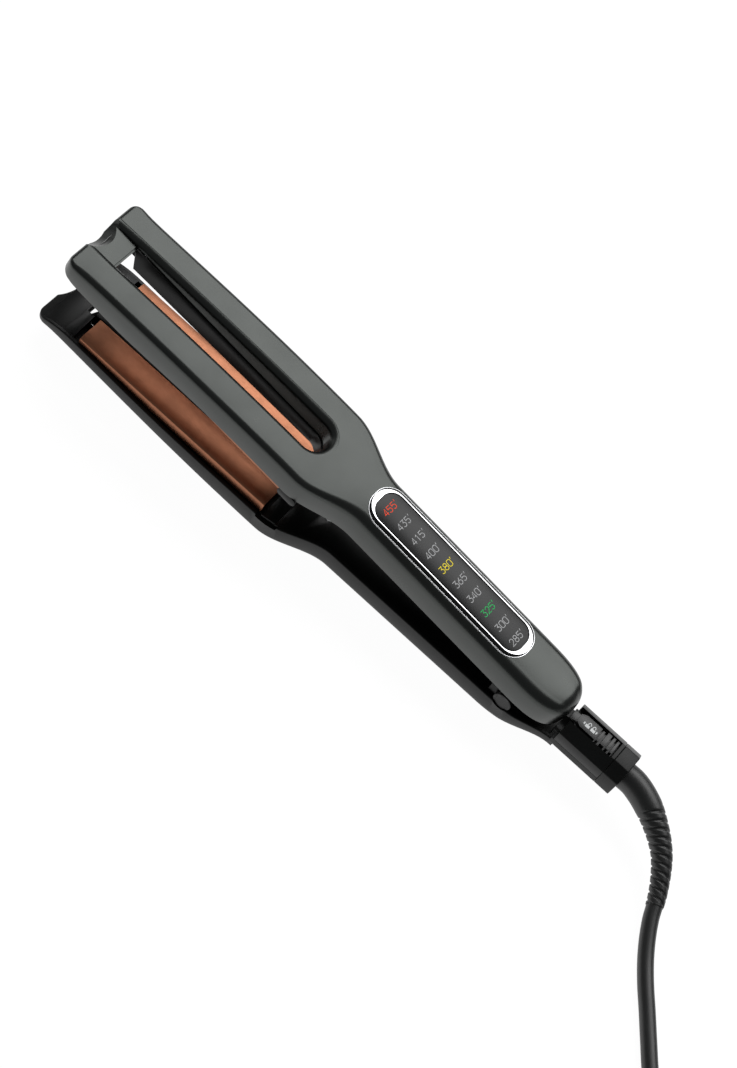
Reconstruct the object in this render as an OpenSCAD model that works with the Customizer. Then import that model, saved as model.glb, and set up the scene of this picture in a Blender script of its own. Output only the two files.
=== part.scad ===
// Hair iron with two floating plates in each jaw and an open slot down the
// middle of both jaws, a temperature display in the handle and a swivel cord.
// It lies on the flat underside of its lower arm, with its jaws sprung open.
// Both arms are drawn closed, as depths outward from the plane where the
// plates meet. The upper arm is then swung open about the hinge pin.

/* [Plates] */
// Length of each heated plate
plate_l = 104; // [80:1:120]
// Width of each heated plate
plate_w = 13.3; // [12:0.1:15]
// Thickness of the face of a plate
plate_t = 2; // [1.5:0.1:2.5]
// How far the two legs behind a plate reach
plate_leg = 4.6; // [4:0.1:5]
// How far a plate gives way when hair is pressed
plate_travel = 1; // [0.5:0.1:1.2]
// Thickness of the ceramic heater behind a plate
heater_t = 2.6; // [2:0.1:3]

/* [Jaws] */
// Half width of the open slot between the plates
slot_hw = 6.6; // [6:0.1:8]
// Half width of the slot at the crown, where its edge rounds over
slot_crown_hw = 10.5; // [10:0.05:11]
// From the tip of the jaws to the front of the plates
plate_x0 = 22; // [20:0.5:26]
// Channel between a plate and the rim of the housing
channel = 1; // [0.8:0.1:1.5]
// How far the plates stand out of the rim at the rear of the jaws
jaw_rim = 6.2; // [5.5:0.1:6.4]
// How far they stand out at the front
front_rim = 3; // [2.5:0.1:3.5]
// How far the tip of a jaw curves away from the other one
bill_rise = 4.2; // [3.5:0.1:4.5]
// Length over which the tip curves away
bill_l = 18; // [14:1:18]
// From the tip to the rear face of the bar across the slot
bar_x1 = 14; // [12:0.5:16]
// Height of the bar across the slot at the tip
bar_h = 8.2; // [8:0.1:8.6]

/* [Housings] */
// Wall thickness of the housings
wall = 1.6; // [1.4:0.1:2]
// Height of an arm from the meeting plane to its crown
crown_h = 18.5; // [17.5:0.1:20]
// How much lower the crown is at the tip
tip_drop = 8.5; // [8:0.1:9]
// Radius of the shoulders between the crown and the sides of the handle
shoulder_r = 5; // [4:0.1:6]
// The same for the jaws
jaw_shoulder_r = 3; // [2.5:0.1:4]
// Taper of the sides in degrees
draft = 6; // [3:0.5:8]

/* [Handle] */
// Half width of the handle
handle_hw = 14.6; // [14:0.1:16]
// Length of the neck between the jaws and the handle
neck_l = 32; // [28:1:40]
// From the end of the neck to the hinge
grip_l = 93; // [91:1:105]
// Height of the handle's rim below the meeting plane
handle_rim = 4.5; // [4:0.1:5]
// Thickness of the covers on the inner faces of the handle
cover_t = 2; // [1.6:0.1:2.2]

/* [Hinge] */
// How far the jaws stand open, in degrees
open_angle = 6.5; // [5:0.5:7.5]
// Diameter of the hinge pin
pin_d = 4; // [3.5:0.1:4.5]
// Outer diameter of the hinge knuckles
knuckle_d = 8.6; // [8.4:0.1:9]
// Height of the hinge pin above the surface that the iron lies on
hinge_z = 17; // [16.6:0.1:17.4]
// Wire diameter of the opening spring
spring_wire = 1; // [0.8:0.1:1.1]
// Turns of the opening spring
spring_turns = 5; // [3:1:6]

/* [Tail] */
// Half width of the eight-sided tail
tail_hw = 9.5; // [9.2:0.1:10.5]
// Half height of the tail
tail_hh = 10; // [9.7:0.1:10.5]
// Width of the tail's chamfers
tail_chamfer = 5.1; // [4.5:0.1:5.5]
// Length of the tail in front of its end ring
tail_l = 24; // [23:1:28]
// Length of the end ring
ring_l = 7.7; // [7:0.1:9]
// How far the lock slider travels
lock_travel = 4; // [3:0.1:4]

/* [Display] */
// Length of the display's chrome ring
bezel_l = 90; // [80:1:94]
// Half width of the display's chrome ring
bezel_hw = 10.2; // [10:0.1:10.6]
// Width of the chrome ring along its sides
bezel_side = 1.3; // [1:0.1:1.5]

/* [Cord] */
// Diameter of the cord
cord_d = 7; // [6.5:0.1:7]
// Mean diameter of the coil of spare cord
coil_d = 80; // [80:1:84]

/* [Hidden] */
$fn = 48;

// Clearances
seat_gap = 0.1;         // between pieces that are fixed to each other
face_gap = 0.05;        // between a plate's face and the meeting plane
moving_gap = 0.35;      // between pieces that move past each other
pin_fit = 0.05;         // radial fit of the hinge pin
turn_fit = 0.08;        // radial fit of the swivel bush

// Stations along the arms, measured from the tip
plate_x1 = plate_x0 + plate_l;
slot_x1 = plate_x1 + 1;
neck_x0 = plate_x1 + 2;
neck_x1 = neck_x0 + neck_l;
hinge_x = neck_x1 + grip_l;
arm_x1 = hinge_x + 22.5;
tail_x0 = hinge_x + 26;
ring_x0 = tail_x0 + tail_l;
overall_l = ring_x0 + ring_l;
frame_x1 = neck_x0 + 6;         // where the plate frame meets the handle's cover

// Widths across the jaws
frame_wall = 0.9;
plate_in = slot_hw + frame_wall + 0.3;
plate_out = plate_in + plate_w;
jaw_hw = plate_out + channel + wall;
tip_hw = jaw_hw - 0.7;
tip_r = 5;

// Depths outward from the meeting plane
frame_h = 8.2;                              // back of the plate frames
front_h = 6.6;                              // back of their thinner front
leg_h = plate_t + plate_leg;                // back of a plate's legs
heater_h = plate_t + heater_t;              // back of a heater
pocket_h = frame_h + 1.2;                   // floor of the pockets behind the plates
cover_h = handle_rim + 0.4;                 // inner face of a handle's cover
board_t = 1.6;
tail_h = crown_h - (hinge_z - tail_hh);     // depth of the tail's underside
lining_h = 5;                               // edge of the slot's lining
tip_fall = 2;                               // rounding of the crown at the tip
end_fall = 7;                               // rounding of the crown at the upper arm's end
end_rise = 3;                               // rounding of the rim at the upper arm's end
camber = 0.5;                               // rise of the crown's middle

// Hinge
knuckle_r = knuckle_d / 2;
pin_r = pin_d / 2;
knuckle_y1 = handle_hw - 0.6;
knuckle_y0 = knuckle_y1 - 3.7;
barrel_y1 = knuckle_y0 - moving_gap;
barrel_y0 = 4.9;
cap_t = 0.8;
cap_r = 3.2;
web_w = 6;
stop_x = hinge_x + 15;
spring_r = pin_r + 0.6 + spring_wire / 2;
spring_pitch = spring_wire + 0.4;
spring_leg = 15;

// Screws
screw_xs = [neck_x0 + 20, hinge_x + 8.5];
screw_r = 1.2;
screw_head_r = 2.6;
head_d = 1.1;                   // depth of a screw's head in the cover
boss_r = 3;
boss_gap = 0.4;                 // between a boss and the sloped back of the cover

// Display
bezel_x0 = neck_x1 - 5;
bezel_x1 = bezel_x0 + bezel_l;
bezel_end = 4.5;
bezel_h0 = crown_h - 1.3;
bezel_h1 = crown_h + 0.4;
window_t = 1.8;
board_h0 = crown_h - 4.2;
board_hw = 8;
power_h0 = cover_h + cover_t + 3.2;
power_hw = handle_hw - 5;

// Tail and lock
tail_seam_z = hinge_z - 1.4;
recess_hw = 4.6;
recess_d = 3.2;
tail_top = hinge_z + tail_hh;
wire_r = 5.4;
ring_bore_r = 6.4;
flange_r = 7.4;
flange_l = 3;
bush_r = ring_bore_r - turn_fit;
bush_bore_r = 5;

// Points that the strain relief and the lead pass through, from the tail's
// end face, with the iron's middle at x = 0
relief_points = [
    [160, 0, 17], [164, -0.8, 16.9], [168, -2, 16.6], [173, -4, 16], [178, -6.6, 15],
    [183, -9.7, 13.9], [188, -13.8, 12.6], [192, -18.4, 11], [195.4, -23.4, 9.5],
    [198, -28, 8.3], [199.6, -31.6, 7.5]
];
lead_points = [
    [202, -37, 6.3], [206, -44, 5], [211, -51.5, 4], [217, -59.5, 3.6], [224, -68, 3.5],
    [232, -78, 3.5], [241, -89, 3.5], [251, -99, 3.6], [262, -109, 4], [272, -117, 4.3]
];
coil_centre = [320, -88];
coil_start = 225;           // direction from the coil's centre to where the lead joins it
coil_turns = 3.1875;        // turns in each of the coil's two layers
tie_at = 100;               // direction from the coil's centre to its strap
cord_r = cord_d / 2;
tie_t = 0.8;
coil_pitch = cord_d + 0.5;
coil_z0 = cord_r + tie_t + 0.1;
coil_z1 = coil_z0 + cord_d + 0.6;
coil_out = coil_d / 2 + coil_turns * coil_pitch / 2;
plug_z = 9.5;
plug_l = 34;
tail_run = 22;              // straight cord between the coil and the plug

// ---- small tools ----

function mix(a, b, t) = a + (b - a) * t;
function ease(t) = t <= 0 ? 0 : t >= 1 ? 1 : t * t * (3 - 2 * t);
// What a corner of radius r takes away at a distance d inside the edge
function corner(d, r) = d >= r ? 0 : r - sqrt(r * r - pow(r - max(d, 0), 2));

// Closed solid through rings of points, each ring a list of as many points
module skin(rings) {
    n = len(rings[0]);
    last = (len(rings) - 1) * n;
    sides = [
        for (k = [0 : len(rings) - 2], i = [0 : n - 1])
            let (a = k * n + i, b = k * n + (i + 1) % n)
                each [[a, b + n, b], [a, a + n, b + n]]
    ];
    ends = [
        for (i = [0 : floor((n - 1) / 2) - 1])
            let (a = i, b = i + 1, c = n - 2 - i, d = n - 1 - i)
                each concat(
                    [[a, b, d], [last + a, last + d, last + b]],
                    b < c ? [[b, c, d], [last + b, last + d, last + c]] : []
                )
    ];
    polyhedron(points = [for (r = rings) each r], faces = concat(sides, ends), convexity = 8);
}

// Flat bar with round corners between x0 and x1, half width hw, corner radius r
module rounded_bar(x0, x1, hw, r) {
    translate([x0 + r, -hw]) square([x1 - x0 - 2 * r, 2 * hw]);
    translate([x0, -hw + r]) square([x1 - x0, 2 * (hw - r)]);
    for (x = [x0 + r, x1 - r], y = [-hw + r, hw - r]) translate([x, y]) circle(r);
}

// Slot outline with a round rear end about the same centre for every half width
module slot_shape(hw, x0) {
    translate([x0, -hw]) square([slot_x1 - slot_hw - x0, 2 * hw]);
    translate([slot_x1 - slot_hw, 0]) circle(hw);
}

module along_y(y0, y1) {
    translate([0, y1, 0]) rotate([90, 0, 0]) linear_extrude(y1 - y0) children();
}

module along_x(x0, x1) {
    translate([x0, 0, 0]) rotate([90, 0, 90]) linear_extrude(x1 - x0) children();
}

module rod_y(r, y0, y1) {
    translate([0, y0, 0]) rotate([-90, 0, 0]) cylinder(r = r, h = y1 - y0);
}

module rod_x(r, x0, x1) {
    translate([x0, 0, 0]) rotate([0, 90, 0]) cylinder(r = r, h = x1 - x0);
}

// Puts a piece on the lower arm, on the open upper arm, or in the row's frame
module centred() { translate([-overall_l / 2, 0, 0]) children(); }
module lower_arm() { translate([0, 0, crown_h]) mirror([0, 0, 1]) children(); }
module swung(a) {
    translate([hinge_x, 0, hinge_z]) rotate([0, a, 0]) translate([-hinge_x, 0, -hinge_z]) children();
}
module upper_arm() { swung(open_angle) translate([0, 0, crown_h]) children(); }
// At the hinge pin, seen from either arm
module at_pin(upper) { translate([hinge_x, 0, upper ? hinge_z - crown_h : crown_h - hinge_z]) children(); }

// ---- outline of an arm ----

function half_width(x, lower) =
    let (
        jaw = mix(tip_hw, jaw_hw, ease(x / (0.8 * neck_x0))) - corner(x, tip_r),
        body = mix(jaw, handle_hw, ease((x - neck_x0) / neck_l)),
        t = (x - hinge_x + 3) / (arm_x1 - hinge_x + 3)
    )
    lower ? mix(body, tail_hw - 0.2, ease((x - hinge_x - 2) / (tail_x0 - hinge_x - 2)))
          : t <= 0 ? body : body * pow(max(1 - pow(t, 3), 0), 0.36);

function crown(x, lower) =
    let (
        body = crown_h - tip_drop * pow(max(1 - x / (plate_x1 - 1), 0), 1.5) - corner(x, tip_fall)
    )
    lower ? mix(body, tail_h - 0.2, ease((x - hinge_x + 8) / (tail_x0 - hinge_x + 8)))
          : body - corner(arm_x1 - x, end_fall);

function bill(x) = x >= bill_l ? 0 : bill_rise * pow((bill_l - x) / bill_l, 2);

function rim(x, lower) =
    mix(front_rim, jaw_rim, ease(x / (plate_x0 + 58))) + bill(x)
    + (handle_rim - jaw_rim) * ease((x - frame_x1) / (neck_x1 - frame_x1))
    + (lower ? 0 : corner(arm_x1 - x, end_rise));

// Inner face of a handle's cover and its back, which follow the rim through the neck
function face_h(x) = rim(x, true) + 0.4;
function back_h(x) = face_h(x) + cover_t;

// Section across an arm: sides with draft, round shoulders, crown slightly domed
// on the upper arm and flat on the lower one
function section(x, lower, inset) =
    let (
        w = half_width(x, lower) - inset,
        top = crown(x, lower) - inset,
        bottom = inset > 0 ? -2 : rim(x, lower),
        rise = top - rim(x, lower),
        shoulder = mix(jaw_shoulder_r, shoulder_r, ease((x - neck_x0) / neck_l)),
        r = max(0.3, min(shoulder - inset * 0.5, rise * 0.45, w * 0.5)),
        wt = w - (rise - r) * tan(draft),
        dome = lower ? 0 : min(camber, rise * 0.05),
        side = concat(
            [[w, bottom]],
            inset > 0 ? [[w, min(back_h(x) + seat_gap, top - dome - r - 0.3)]] : [],
            [for (a = [0 : 18 : 90]) [wt - r + r * cos(a), top - dome - r + r * sin(a)]]
        )
    )
    concat(
        [for (p = side) [x, p[0], p[1]]],
        lower ? [] : [[x, 0, top]],
        [for (i = [len(side) - 1 : -1 : 0]) [x, -side[i][0], side[i][1]]]
    );

tip_stations = [0, 0.4, 1.2, 2.4, 4, 6.5, 10, 14, 18];
jaw_stations = [for (i = [1 : 6]) mix(bill_l, neck_x0, i / 6)];
neck_stations = [for (i = [1 : 8]) neck_x0 + neck_l * i / 8];
grip_stations = [neck_x1 + grip_l / 2, hinge_x - 8];
upper_end_stations = [for (i = [1 : 9]) mix(hinge_x - 4, arm_x1 - 0.1, sin(10 * i))];
lower_end_stations = [for (i = [1 : 8]) mix(hinge_x - 8, tail_x0 + 1, i / 8)];

module arm_solid(lower) {
    stations = concat(
        tip_stations, jaw_stations, neck_stations, grip_stations,
        lower ? lower_end_stations : upper_end_stations
    );
    skin([for (x = stations) section(x, lower, 0)]);
}

// Hollow of the handle
function hollow_x1(lower) = lower ? tail_x0 - 2.5 : arm_x1 - wall - 0.4;
function hollow_stations(lower) = [
    frame_x1, for (i = [1 : 4]) mix(frame_x1, neck_x1, i / 4),
    neck_x1 + grip_l / 2, hinge_x - 8,
    for (i = [1 : 6]) mix(hinge_x - 4, hollow_x1(lower), sin(15 * i))
];

module handle_hollow(lower) {
    skin([for (x = hollow_stations(lower)) section(x, lower, wall)]);
}

// Plan outline inside the housing's walls, over the given stations
front_x0 = 3.5;
pocket_stations = concat(
    [front_x0 - seat_gap], [for (x = tip_stations) if (x > front_x0) x], jaw_stations, [frame_x1 + 1]
);
module plan_inside(xs, lower, gap) {
    right = [for (x = xs) [x, half_width(x, lower) - wall - gap]];
    left = [for (i = [len(xs) - 1 : -1 : 0]) [right[i][0], -right[i][1]]];
    polygon(concat(right, left));
}

// Cutter for the slot's upper part: straight wall, then a round edge out to the crown
module slot_cutter() {
    low_hw = slot_hw + 0.5;
    round_r = slot_crown_hw - low_hw - 0.4;
    centre = slot_x1 - slot_hw;
    sides = [for (i = [0 : 4]) mix(bar_x1, centre, i / 4)];
    levels = concat([[-1, low_hw], [0, low_hw + 0.4]], [for (a = [22.5 : 22.5 : 90]) [a, 0]]);
    function ring_of(level) =
        let (
            hw = level[0] <= 0 ? level[1] : low_hw + 0.4 + round_r * (1 - cos(level[0])),
            plan = concat(
                [for (x = sides) [x, hw]],
                [for (a = [67.5 : -22.5 : -67.5]) [centre + hw * cos(a), hw * sin(a)]],
                [for (i = [4 : -1 : 0]) [sides[i], -hw]]
            )
        )
        [for (p = plan) [
            p[0], p[1],
            level[0] < 0 ? frame_h - 1
                : crown(p[0], true) - 0.3 - round_r + round_r * sin(level[0])
        ]];
    skin([
        for (k = [0 : len(levels) - 1]) [for (i = [17 - 1 : -1 : 0]) ring_of(levels[k])[i]],
        [for (i = [17 - 1 : -1 : 0]) ring_of([90, 0])[i] + [0, 0, 4]]
    ]);
}

// Cutter for the groove over the bar at the tip, with the slot's round edges
module groove_cutter() {
    low_hw = slot_hw + 0.9;
    round_r = slot_crown_hw - low_hw;
    xs = [-3, 8, 14, 20];
    half = concat([[low_hw, -1]], [for (a = [0 : 22.5 : 90]) [low_hw + round_r * (1 - cos(a)), a]]);
    function edge(x) = crown(max(x, tip_fall), true) - 0.3;
    function height(x, a) = a < 0 ? bar_h : mix(max(bar_h + 0.2, edge(x) - round_r), edge(x), sin(a));
    function ring_at(x) = concat(
        [for (p = half) [x, p[0], height(x, p[1])]],
        [[x, slot_crown_hw, crown_h + 3], [x, -slot_crown_hw, crown_h + 3]],
        [for (i = [len(half) - 1 : -1 : 0]) [x, -half[i][0], height(x, half[i][1])]]
    );
    skin([for (x = xs) ring_at(x)]);
}

// Round bite that sets the bar back between the two rails
module tip_bite() {
    translate([-5.5, 0, bar_h + 5.5]) rotate([0, 45, 0]) cylinder(r = 12, h = 60, center = true);
}

// Boss for a screw from the handle's cover
module screw_bosses(lower) {
    for (x = screw_xs) translate([x, 0, back_h(x) + boss_gap])
        cylinder(r = boss_r, h = crown(x, lower) - wall - back_h(x));
}

module screw_holes() {
    for (x = screw_xs) translate([x, 0, face_h(x) + cover_t])
        cylinder(r = screw_r + 0.05, h = 8.2);
}

// Housing common to both arms
module housing(lower) {
    difference() {
        union() {
            difference() {
                arm_solid(lower);
                handle_hollow(lower);
            }
            screw_bosses(lower);
        }
        screw_holes();
        // pocket for the plate frame, shallower at the front
        translate([0, 0, -1]) linear_extrude(front_h + seat_gap + 1)
            plan_inside(pocket_stations, lower, 0);
        translate([0, 0, -1]) linear_extrude(frame_h + seat_gap + 1) intersection() {
            plan_inside(pocket_stations, lower, 0);
            translate([bar_x1 + 1 - seat_gap, -40]) square([frame_x1, 80]);
        }
        // pockets for the plates, with a way for their wires to the handle
        for (side = [-1, 1]) {
            translate([plate_x0 - 1, side > 0 ? plate_in + 1.7 : -plate_out, frame_h - 1])
                cube([plate_l + 0.6, plate_w - 1.7, pocket_h - frame_h + 1]);
            translate([plate_x1 - 4, side * (jaw_hw - 10) - 2, frame_h - 1])
                cube([frame_x1 - plate_x1 + 6, 4, 2.6]);
        }
        slot_cutter();
        groove_cutter();
        tip_bite();
    }
}

// Lug at each side of the upper jaw, and the notch below it in the lower one
lug_x0 = neck_x0 - 2.5;
lug_x1 = frame_x1 + 1.6;
module lug_shape() {
    polygon([
        [lug_x0, jaw_rim + 0.6], [lug_x0, 0.4], [lug_x0 + 2, -2.2], [lug_x1 - 3, -2.2],
        [lug_x1, 0.4], [lug_x1, jaw_rim + 0.6]
    ]);
}

module notch_shape() {
    polygon([[lug_x0 - 1, 0], [lug_x0, jaw_rim + 2], [lug_x1, jaw_rim + 2], [lug_x1 + 1, 0]]);
}

module lower_housing() {
    color("#2b2d2d") centred() difference() {
        union() {
            lower_arm() housing(true);
            translate([0, 0, hinge_z]) along_x(tail_x0 - 1, ring_x0 - seat_gap)
                tail_outline(-tail_hh, tail_seam_z - hinge_z);
        }
        // ways for the wires and the hinge
        translate([0, 0, hinge_z]) rod_x(wire_r, tail_x0 - 4, ring_x0 + 1);
        translate([hinge_x, 0, hinge_z]) rod_y(knuckle_r + 0.15, -20, 20);
        lower_arm() along_y(-30, 30) notch_shape();
    }
}

module upper_housing() {
    color("#2b2d2d") centred() upper_arm() difference() {
        union() {
            housing(false);
            for (y = [-jaw_hw + 0.2, jaw_hw - wall]) along_y(y, y + wall - 0.2) lug_shape();
        }
        display_cut();
        // window for the lock's tongue in the rear wall
        translate([arm_x1 - 5, -recess_hw, 0]) cube([10, 2 * recess_hw, hinge_z + 12 - crown_h]);
    }
}

module plate_frame(lower) {
    end = plate_x0 - 3;
    step_x = bar_x1 + 1;
    surface = [for (i = [0 : 9]) let (x = mix(front_x0, end, i / 9)) [x, rim(x, true)]];
    front = concat(surface, [[end, frame_h], [step_x, frame_h], [step_x, front_h], [front_x0, front_h]]);
    rear = [[plate_x1 + 1.3, jaw_rim], [frame_x1, jaw_rim], [frame_x1, frame_h], [plate_x1 + 1.3, frame_h]];
    difference() {
        union() {
            intersection() {
                along_y(-40, 40) {
                    polygon(front);
                    polygon(rear);
                }
                linear_extrude(frame_h) plan_inside(pocket_stations, lower, seat_gap);
            }
            translate([0, 0, lining_h]) linear_extrude(frame_h - lining_h)
                slot_shape(slot_hw + frame_wall, step_x);
        }
        translate([0, 0, -1]) linear_extrude(frame_h + 2) slot_shape(slot_hw, bar_x1);
        tip_bite();
    }
}

module lower_plate_frame() {
    color("#1f2121") centred() lower_arm() plate_frame(true);
}

module upper_plate_frame() {
    color("#1f2121") centred() upper_arm() plate_frame(false);
}

// Cover on the inner face of a handle
module handle_cover(lower) {
    x1 = hollow_x1(lower) - seat_gap;
    xs = [for (i = [0 : 6]) mix(frame_x1 + seat_gap, neck_x1, i / 6)];
    face = [for (x = xs) [x, face_h(x)]];
    back = [for (i = [6 : -1 : 0]) face[i] + [0, cover_t]];
    difference() {
        intersection() {
            along_y(-40, 40) polygon(concat(face, [[x1, cover_h], [x1, cover_h + cover_t]], back));
            linear_extrude(20) plan_inside(hollow_stations(lower), lower, seat_gap);
        }
        for (x = screw_xs) translate([x, 0, 0]) {
            cylinder(r = screw_r + 0.2, h = 20);
            cylinder(r = screw_head_r + 0.2, h = face_h(x) + head_d);
        }
    }
}

// Four posts that carry a board at depth h
module board_posts(x0, x1, y, h) {
    for (x = [x0 + 4, x1 - 4], side = [-1, 1])
        translate([x, side * y, cover_h + cover_t - 0.5])
            cylinder(r = 1.6, h = h - cover_h - cover_t + 0.5 - seat_gap);
}

module lower_handle_cover() {
    color("#181a1a") centred() difference() {
        union() {
            lower_arm() {
                handle_cover(true);
                board_posts(neck_x1 + 2, hinge_x - 12, 8, power_h0);
            }
            for (side = [-1, 1]) {
                y0 = side > 0 ? knuckle_y0 : -knuckle_y1;
                translate([hinge_x, 0, hinge_z]) rod_y(knuckle_r, y0, y0 + knuckle_y1 - knuckle_y0);
                translate([hinge_x - 3, side > 0 ? knuckle_y0 : -knuckle_y0 - 1.6, crown_h - cover_h - 0.5])
                    cube([6, 1.6, hinge_z - crown_h + cover_h]);
                // guide ribs in front of the hinge
                translate([hinge_x - 8, side * 11.2 - 0.6, crown_h - cover_h - 0.5]) cube([3.6, 1.2, 6.4]);
            }
            // pad that stops the arms when they are open
            difference() {
                translate([stop_x - 2, -5, crown_h - cover_h - 0.5]) cube([4, 10, 14]);
                swung(open_angle) translate([stop_x - 20, -10, crown_h + cover_h - 0.02]) cube([40, 20, 20]);
            }
        }
        translate([hinge_x, 0, hinge_z]) {
            rod_y(pin_r + pin_fit, -30, 30);
            rod_y(knuckle_r + 0.4, -barrel_y1 - moving_gap + 0.01, barrel_y1 + moving_gap - 0.01);
            for (side = [-1, 1]) rod_y(cap_r + 0.05, side > 0 ? knuckle_y1 - cap_t : -knuckle_y1 - 1,
                side > 0 ? knuckle_y1 + 1 : -knuckle_y1 + cap_t);
        }
        // groove for the spring's lower leg
        translate([hinge_x - spring_leg - 1, -spring_pitch * spring_turns / 2 - 1.2, crown_h - cover_h - 0.9])
            cube([12, 2.4, 4]);
    }
}

module upper_handle_cover() {
    color("#181a1a") centred() upper_arm() difference() {
        union() {
            handle_cover(false);
            board_posts(bezel_x0 + 6, bezel_x1 - 10, 6, board_h0);
            for (side = [-1, 1]) {
                y0 = side > 0 ? barrel_y0 : -barrel_y1;
                at_pin(true) rod_y(knuckle_r, y0, y0 + barrel_y1 - barrel_y0);
                translate([hinge_x - web_w / 2, y0, hinge_z - crown_h])
                    cube([web_w, barrel_y1 - barrel_y0, crown_h - hinge_z + cover_h + 0.5]);
            }
        }
        at_pin(true) rod_y(pin_r + pin_fit, -30, 30);
        // room for the lock's tongue
        translate([arm_x1 - 6, -recess_hw, 0]) cube([10, 2 * recess_hw, 20]);
    }
}

// ---- plates ----

module plate(side) {
    bevel = 0.8;
    leg_t = 1.4;
    in = plate_in;
    out = plate_out;
    mirror([0, side > 0 ? 0 : 1, 0]) along_x(plate_x0, plate_x1) polygon([
        [in + bevel / 2, face_gap], [out - bevel, face_gap], [out, bevel], [out, leg_h],
        [out - leg_t, leg_h], [out - leg_t, plate_t], [in + leg_t, plate_t], [in + leg_t, leg_h],
        [in, leg_h], [in, bevel / 2]
    ]);
}

module heater(side) {
    inset = 1.4 + 0.3;
    y = side > 0 ? plate_in + inset : -plate_out + inset;
    translate([plate_x0 + 8, y, plate_t + 0.02]) cube([plate_l - 16, plate_w - 2 * inset, heater_t]);
}

module cushions(side) {
    y = side * (plate_in + plate_out) / 2;
    for (t = [0.15, 0.5, 0.85])
        translate([mix(plate_x0, plate_x1, t), y, heater_h + 0.07])
            cylinder(r = 4, h = pocket_h - heater_h - 0.14);
}

module lower_near_plate() { color("#b06a48") centred() lower_arm() plate(-1); }
module lower_far_plate() { color("#b06a48") centred() lower_arm() plate(1); }
module upper_near_plate() { color("#b06a48") centred() upper_arm() plate(-1); }
module upper_far_plate() { color("#b06a48") centred() upper_arm() plate(1); }
module lower_near_heater() { color("#d8d2c4") centred() lower_arm() heater(-1); }
module lower_far_heater() { color("#d8d2c4") centred() lower_arm() heater(1); }
module upper_near_heater() { color("#d8d2c4") centred() upper_arm() heater(-1); }
module upper_far_heater() { color("#d8d2c4") centred() upper_arm() heater(1); }
module lower_near_cushions() { color("#7c7f80") centred() lower_arm() cushions(-1); }
module lower_far_cushions() { color("#7c7f80") centred() lower_arm() cushions(1); }
module upper_near_cushions() { color("#7c7f80") centred() upper_arm() cushions(-1); }
module upper_far_cushions() { color("#7c7f80") centred() upper_arm() cushions(1); }

// ---- hinge ----

module hinge_pin() {
    color("#b8babb") centred() translate([hinge_x, 0, hinge_z])
        rod_y(pin_r, -knuckle_y1 + cap_t + 0.1, knuckle_y1 - cap_t - 0.1);
}

module hinge_caps() {
    color("#2b2d2d") centred() translate([hinge_x, 0, hinge_z]) {
        rod_y(cap_r, -knuckle_y1, -knuckle_y1 + cap_t);
        rod_y(cap_r, knuckle_y1 - cap_t, knuckle_y1);
    }
}

// Round tube of a given radius along a list of points
function unit(v) = v / norm(v);
function heading(pts, i) = unit(pts[min(i + 1, len(pts) - 1)] - pts[max(i - 1, 0)]);
// Sideways directions carried along the points without twist
function carried(pts, i, side) =
    let (h = heading(pts, i), s = unit(side - h * (side * h)))
    i == len(pts) - 1 ? [s] : concat([s], carried(pts, i + 1, s));
module tube(pts, radii, sides, first_side) {
    side = carried(pts, 0, first_side);
    skin([
        for (i = [0 : len(pts) - 1])
            let (h = heading(pts, i), u = side[i], v = cross(h, u), r = radii[i])
                [for (k = [0 : sides - 1]) pts[i] + (u * cos(360 * k / sides) + v * sin(360 * k / sides)) * r]
    ]);
}

// Torsion spring: coil round the pin, one leg on each arm's cover
module opening_spring() {
    steps = 8;
    total = steps * spring_turns;
    y0 = -spring_turns * spring_pitch / 2;
    coil = [
        for (i = [0 : total])
            [spring_r * sin(360 * i / steps), y0 + spring_pitch * i / steps, -spring_r * cos(360 * i / steps)]
    ];
    lower_leg = [[-spring_leg, y0, -spring_r + 0.4], [-spring_leg / 2, y0, -spring_r + 0.1]];
    half_turn = [
        for (i = [1 : 4]) [spring_r * sin(45 * i), -y0, -spring_r * cos(45 * i)]
    ];
    upper_leg = [[-spring_leg / 2, -y0, spring_r + 1.8], [-spring_leg, -y0, spring_r + 3.9]];
    pts = concat(lower_leg, coil, half_turn, upper_leg);
    color("#c4c6c8") centred() translate([hinge_x, 0, hinge_z])
        tube(pts, [for (p = pts) spring_wire / 2], 6, [0, 1, 0]);
}

// ---- display and boards ----

module display_cut() {
    translate([0, 0, bezel_h0 - seat_gap]) linear_extrude(5)
        rounded_bar(bezel_x0 - seat_gap, bezel_x1 + seat_gap, bezel_hw + seat_gap, bezel_hw - 1);
    translate([0, 0, bezel_h0 - 4]) linear_extrude(6)
        rounded_bar(bezel_x0 + bezel_end, bezel_x1 - bezel_end, bezel_hw - bezel_side, bezel_hw - 2.3);
}

module display_bezel() {
    color("#e4e6e8") centred() upper_arm() difference() {
        translate([0, 0, bezel_h0]) linear_extrude(bezel_h1 - bezel_h0)
            rounded_bar(bezel_x0, bezel_x1, bezel_hw, bezel_hw - 1);
        translate([0, 0, bezel_h0 - 1]) linear_extrude(4)
            rounded_bar(bezel_x0 + bezel_end, bezel_x1 - bezel_end, bezel_hw - bezel_side, bezel_hw - 2.3);
    }
}

module display_window() {
    gap = seat_gap;
    color("#101214") centred() upper_arm()
        translate([0, 0, bezel_h1 - 0.15 - window_t]) linear_extrude(window_t)
            rounded_bar(bezel_x0 + bezel_end + gap, bezel_x1 - bezel_end - gap,
                bezel_hw - bezel_side - gap, bezel_hw - 2.3 - gap);
}

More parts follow.
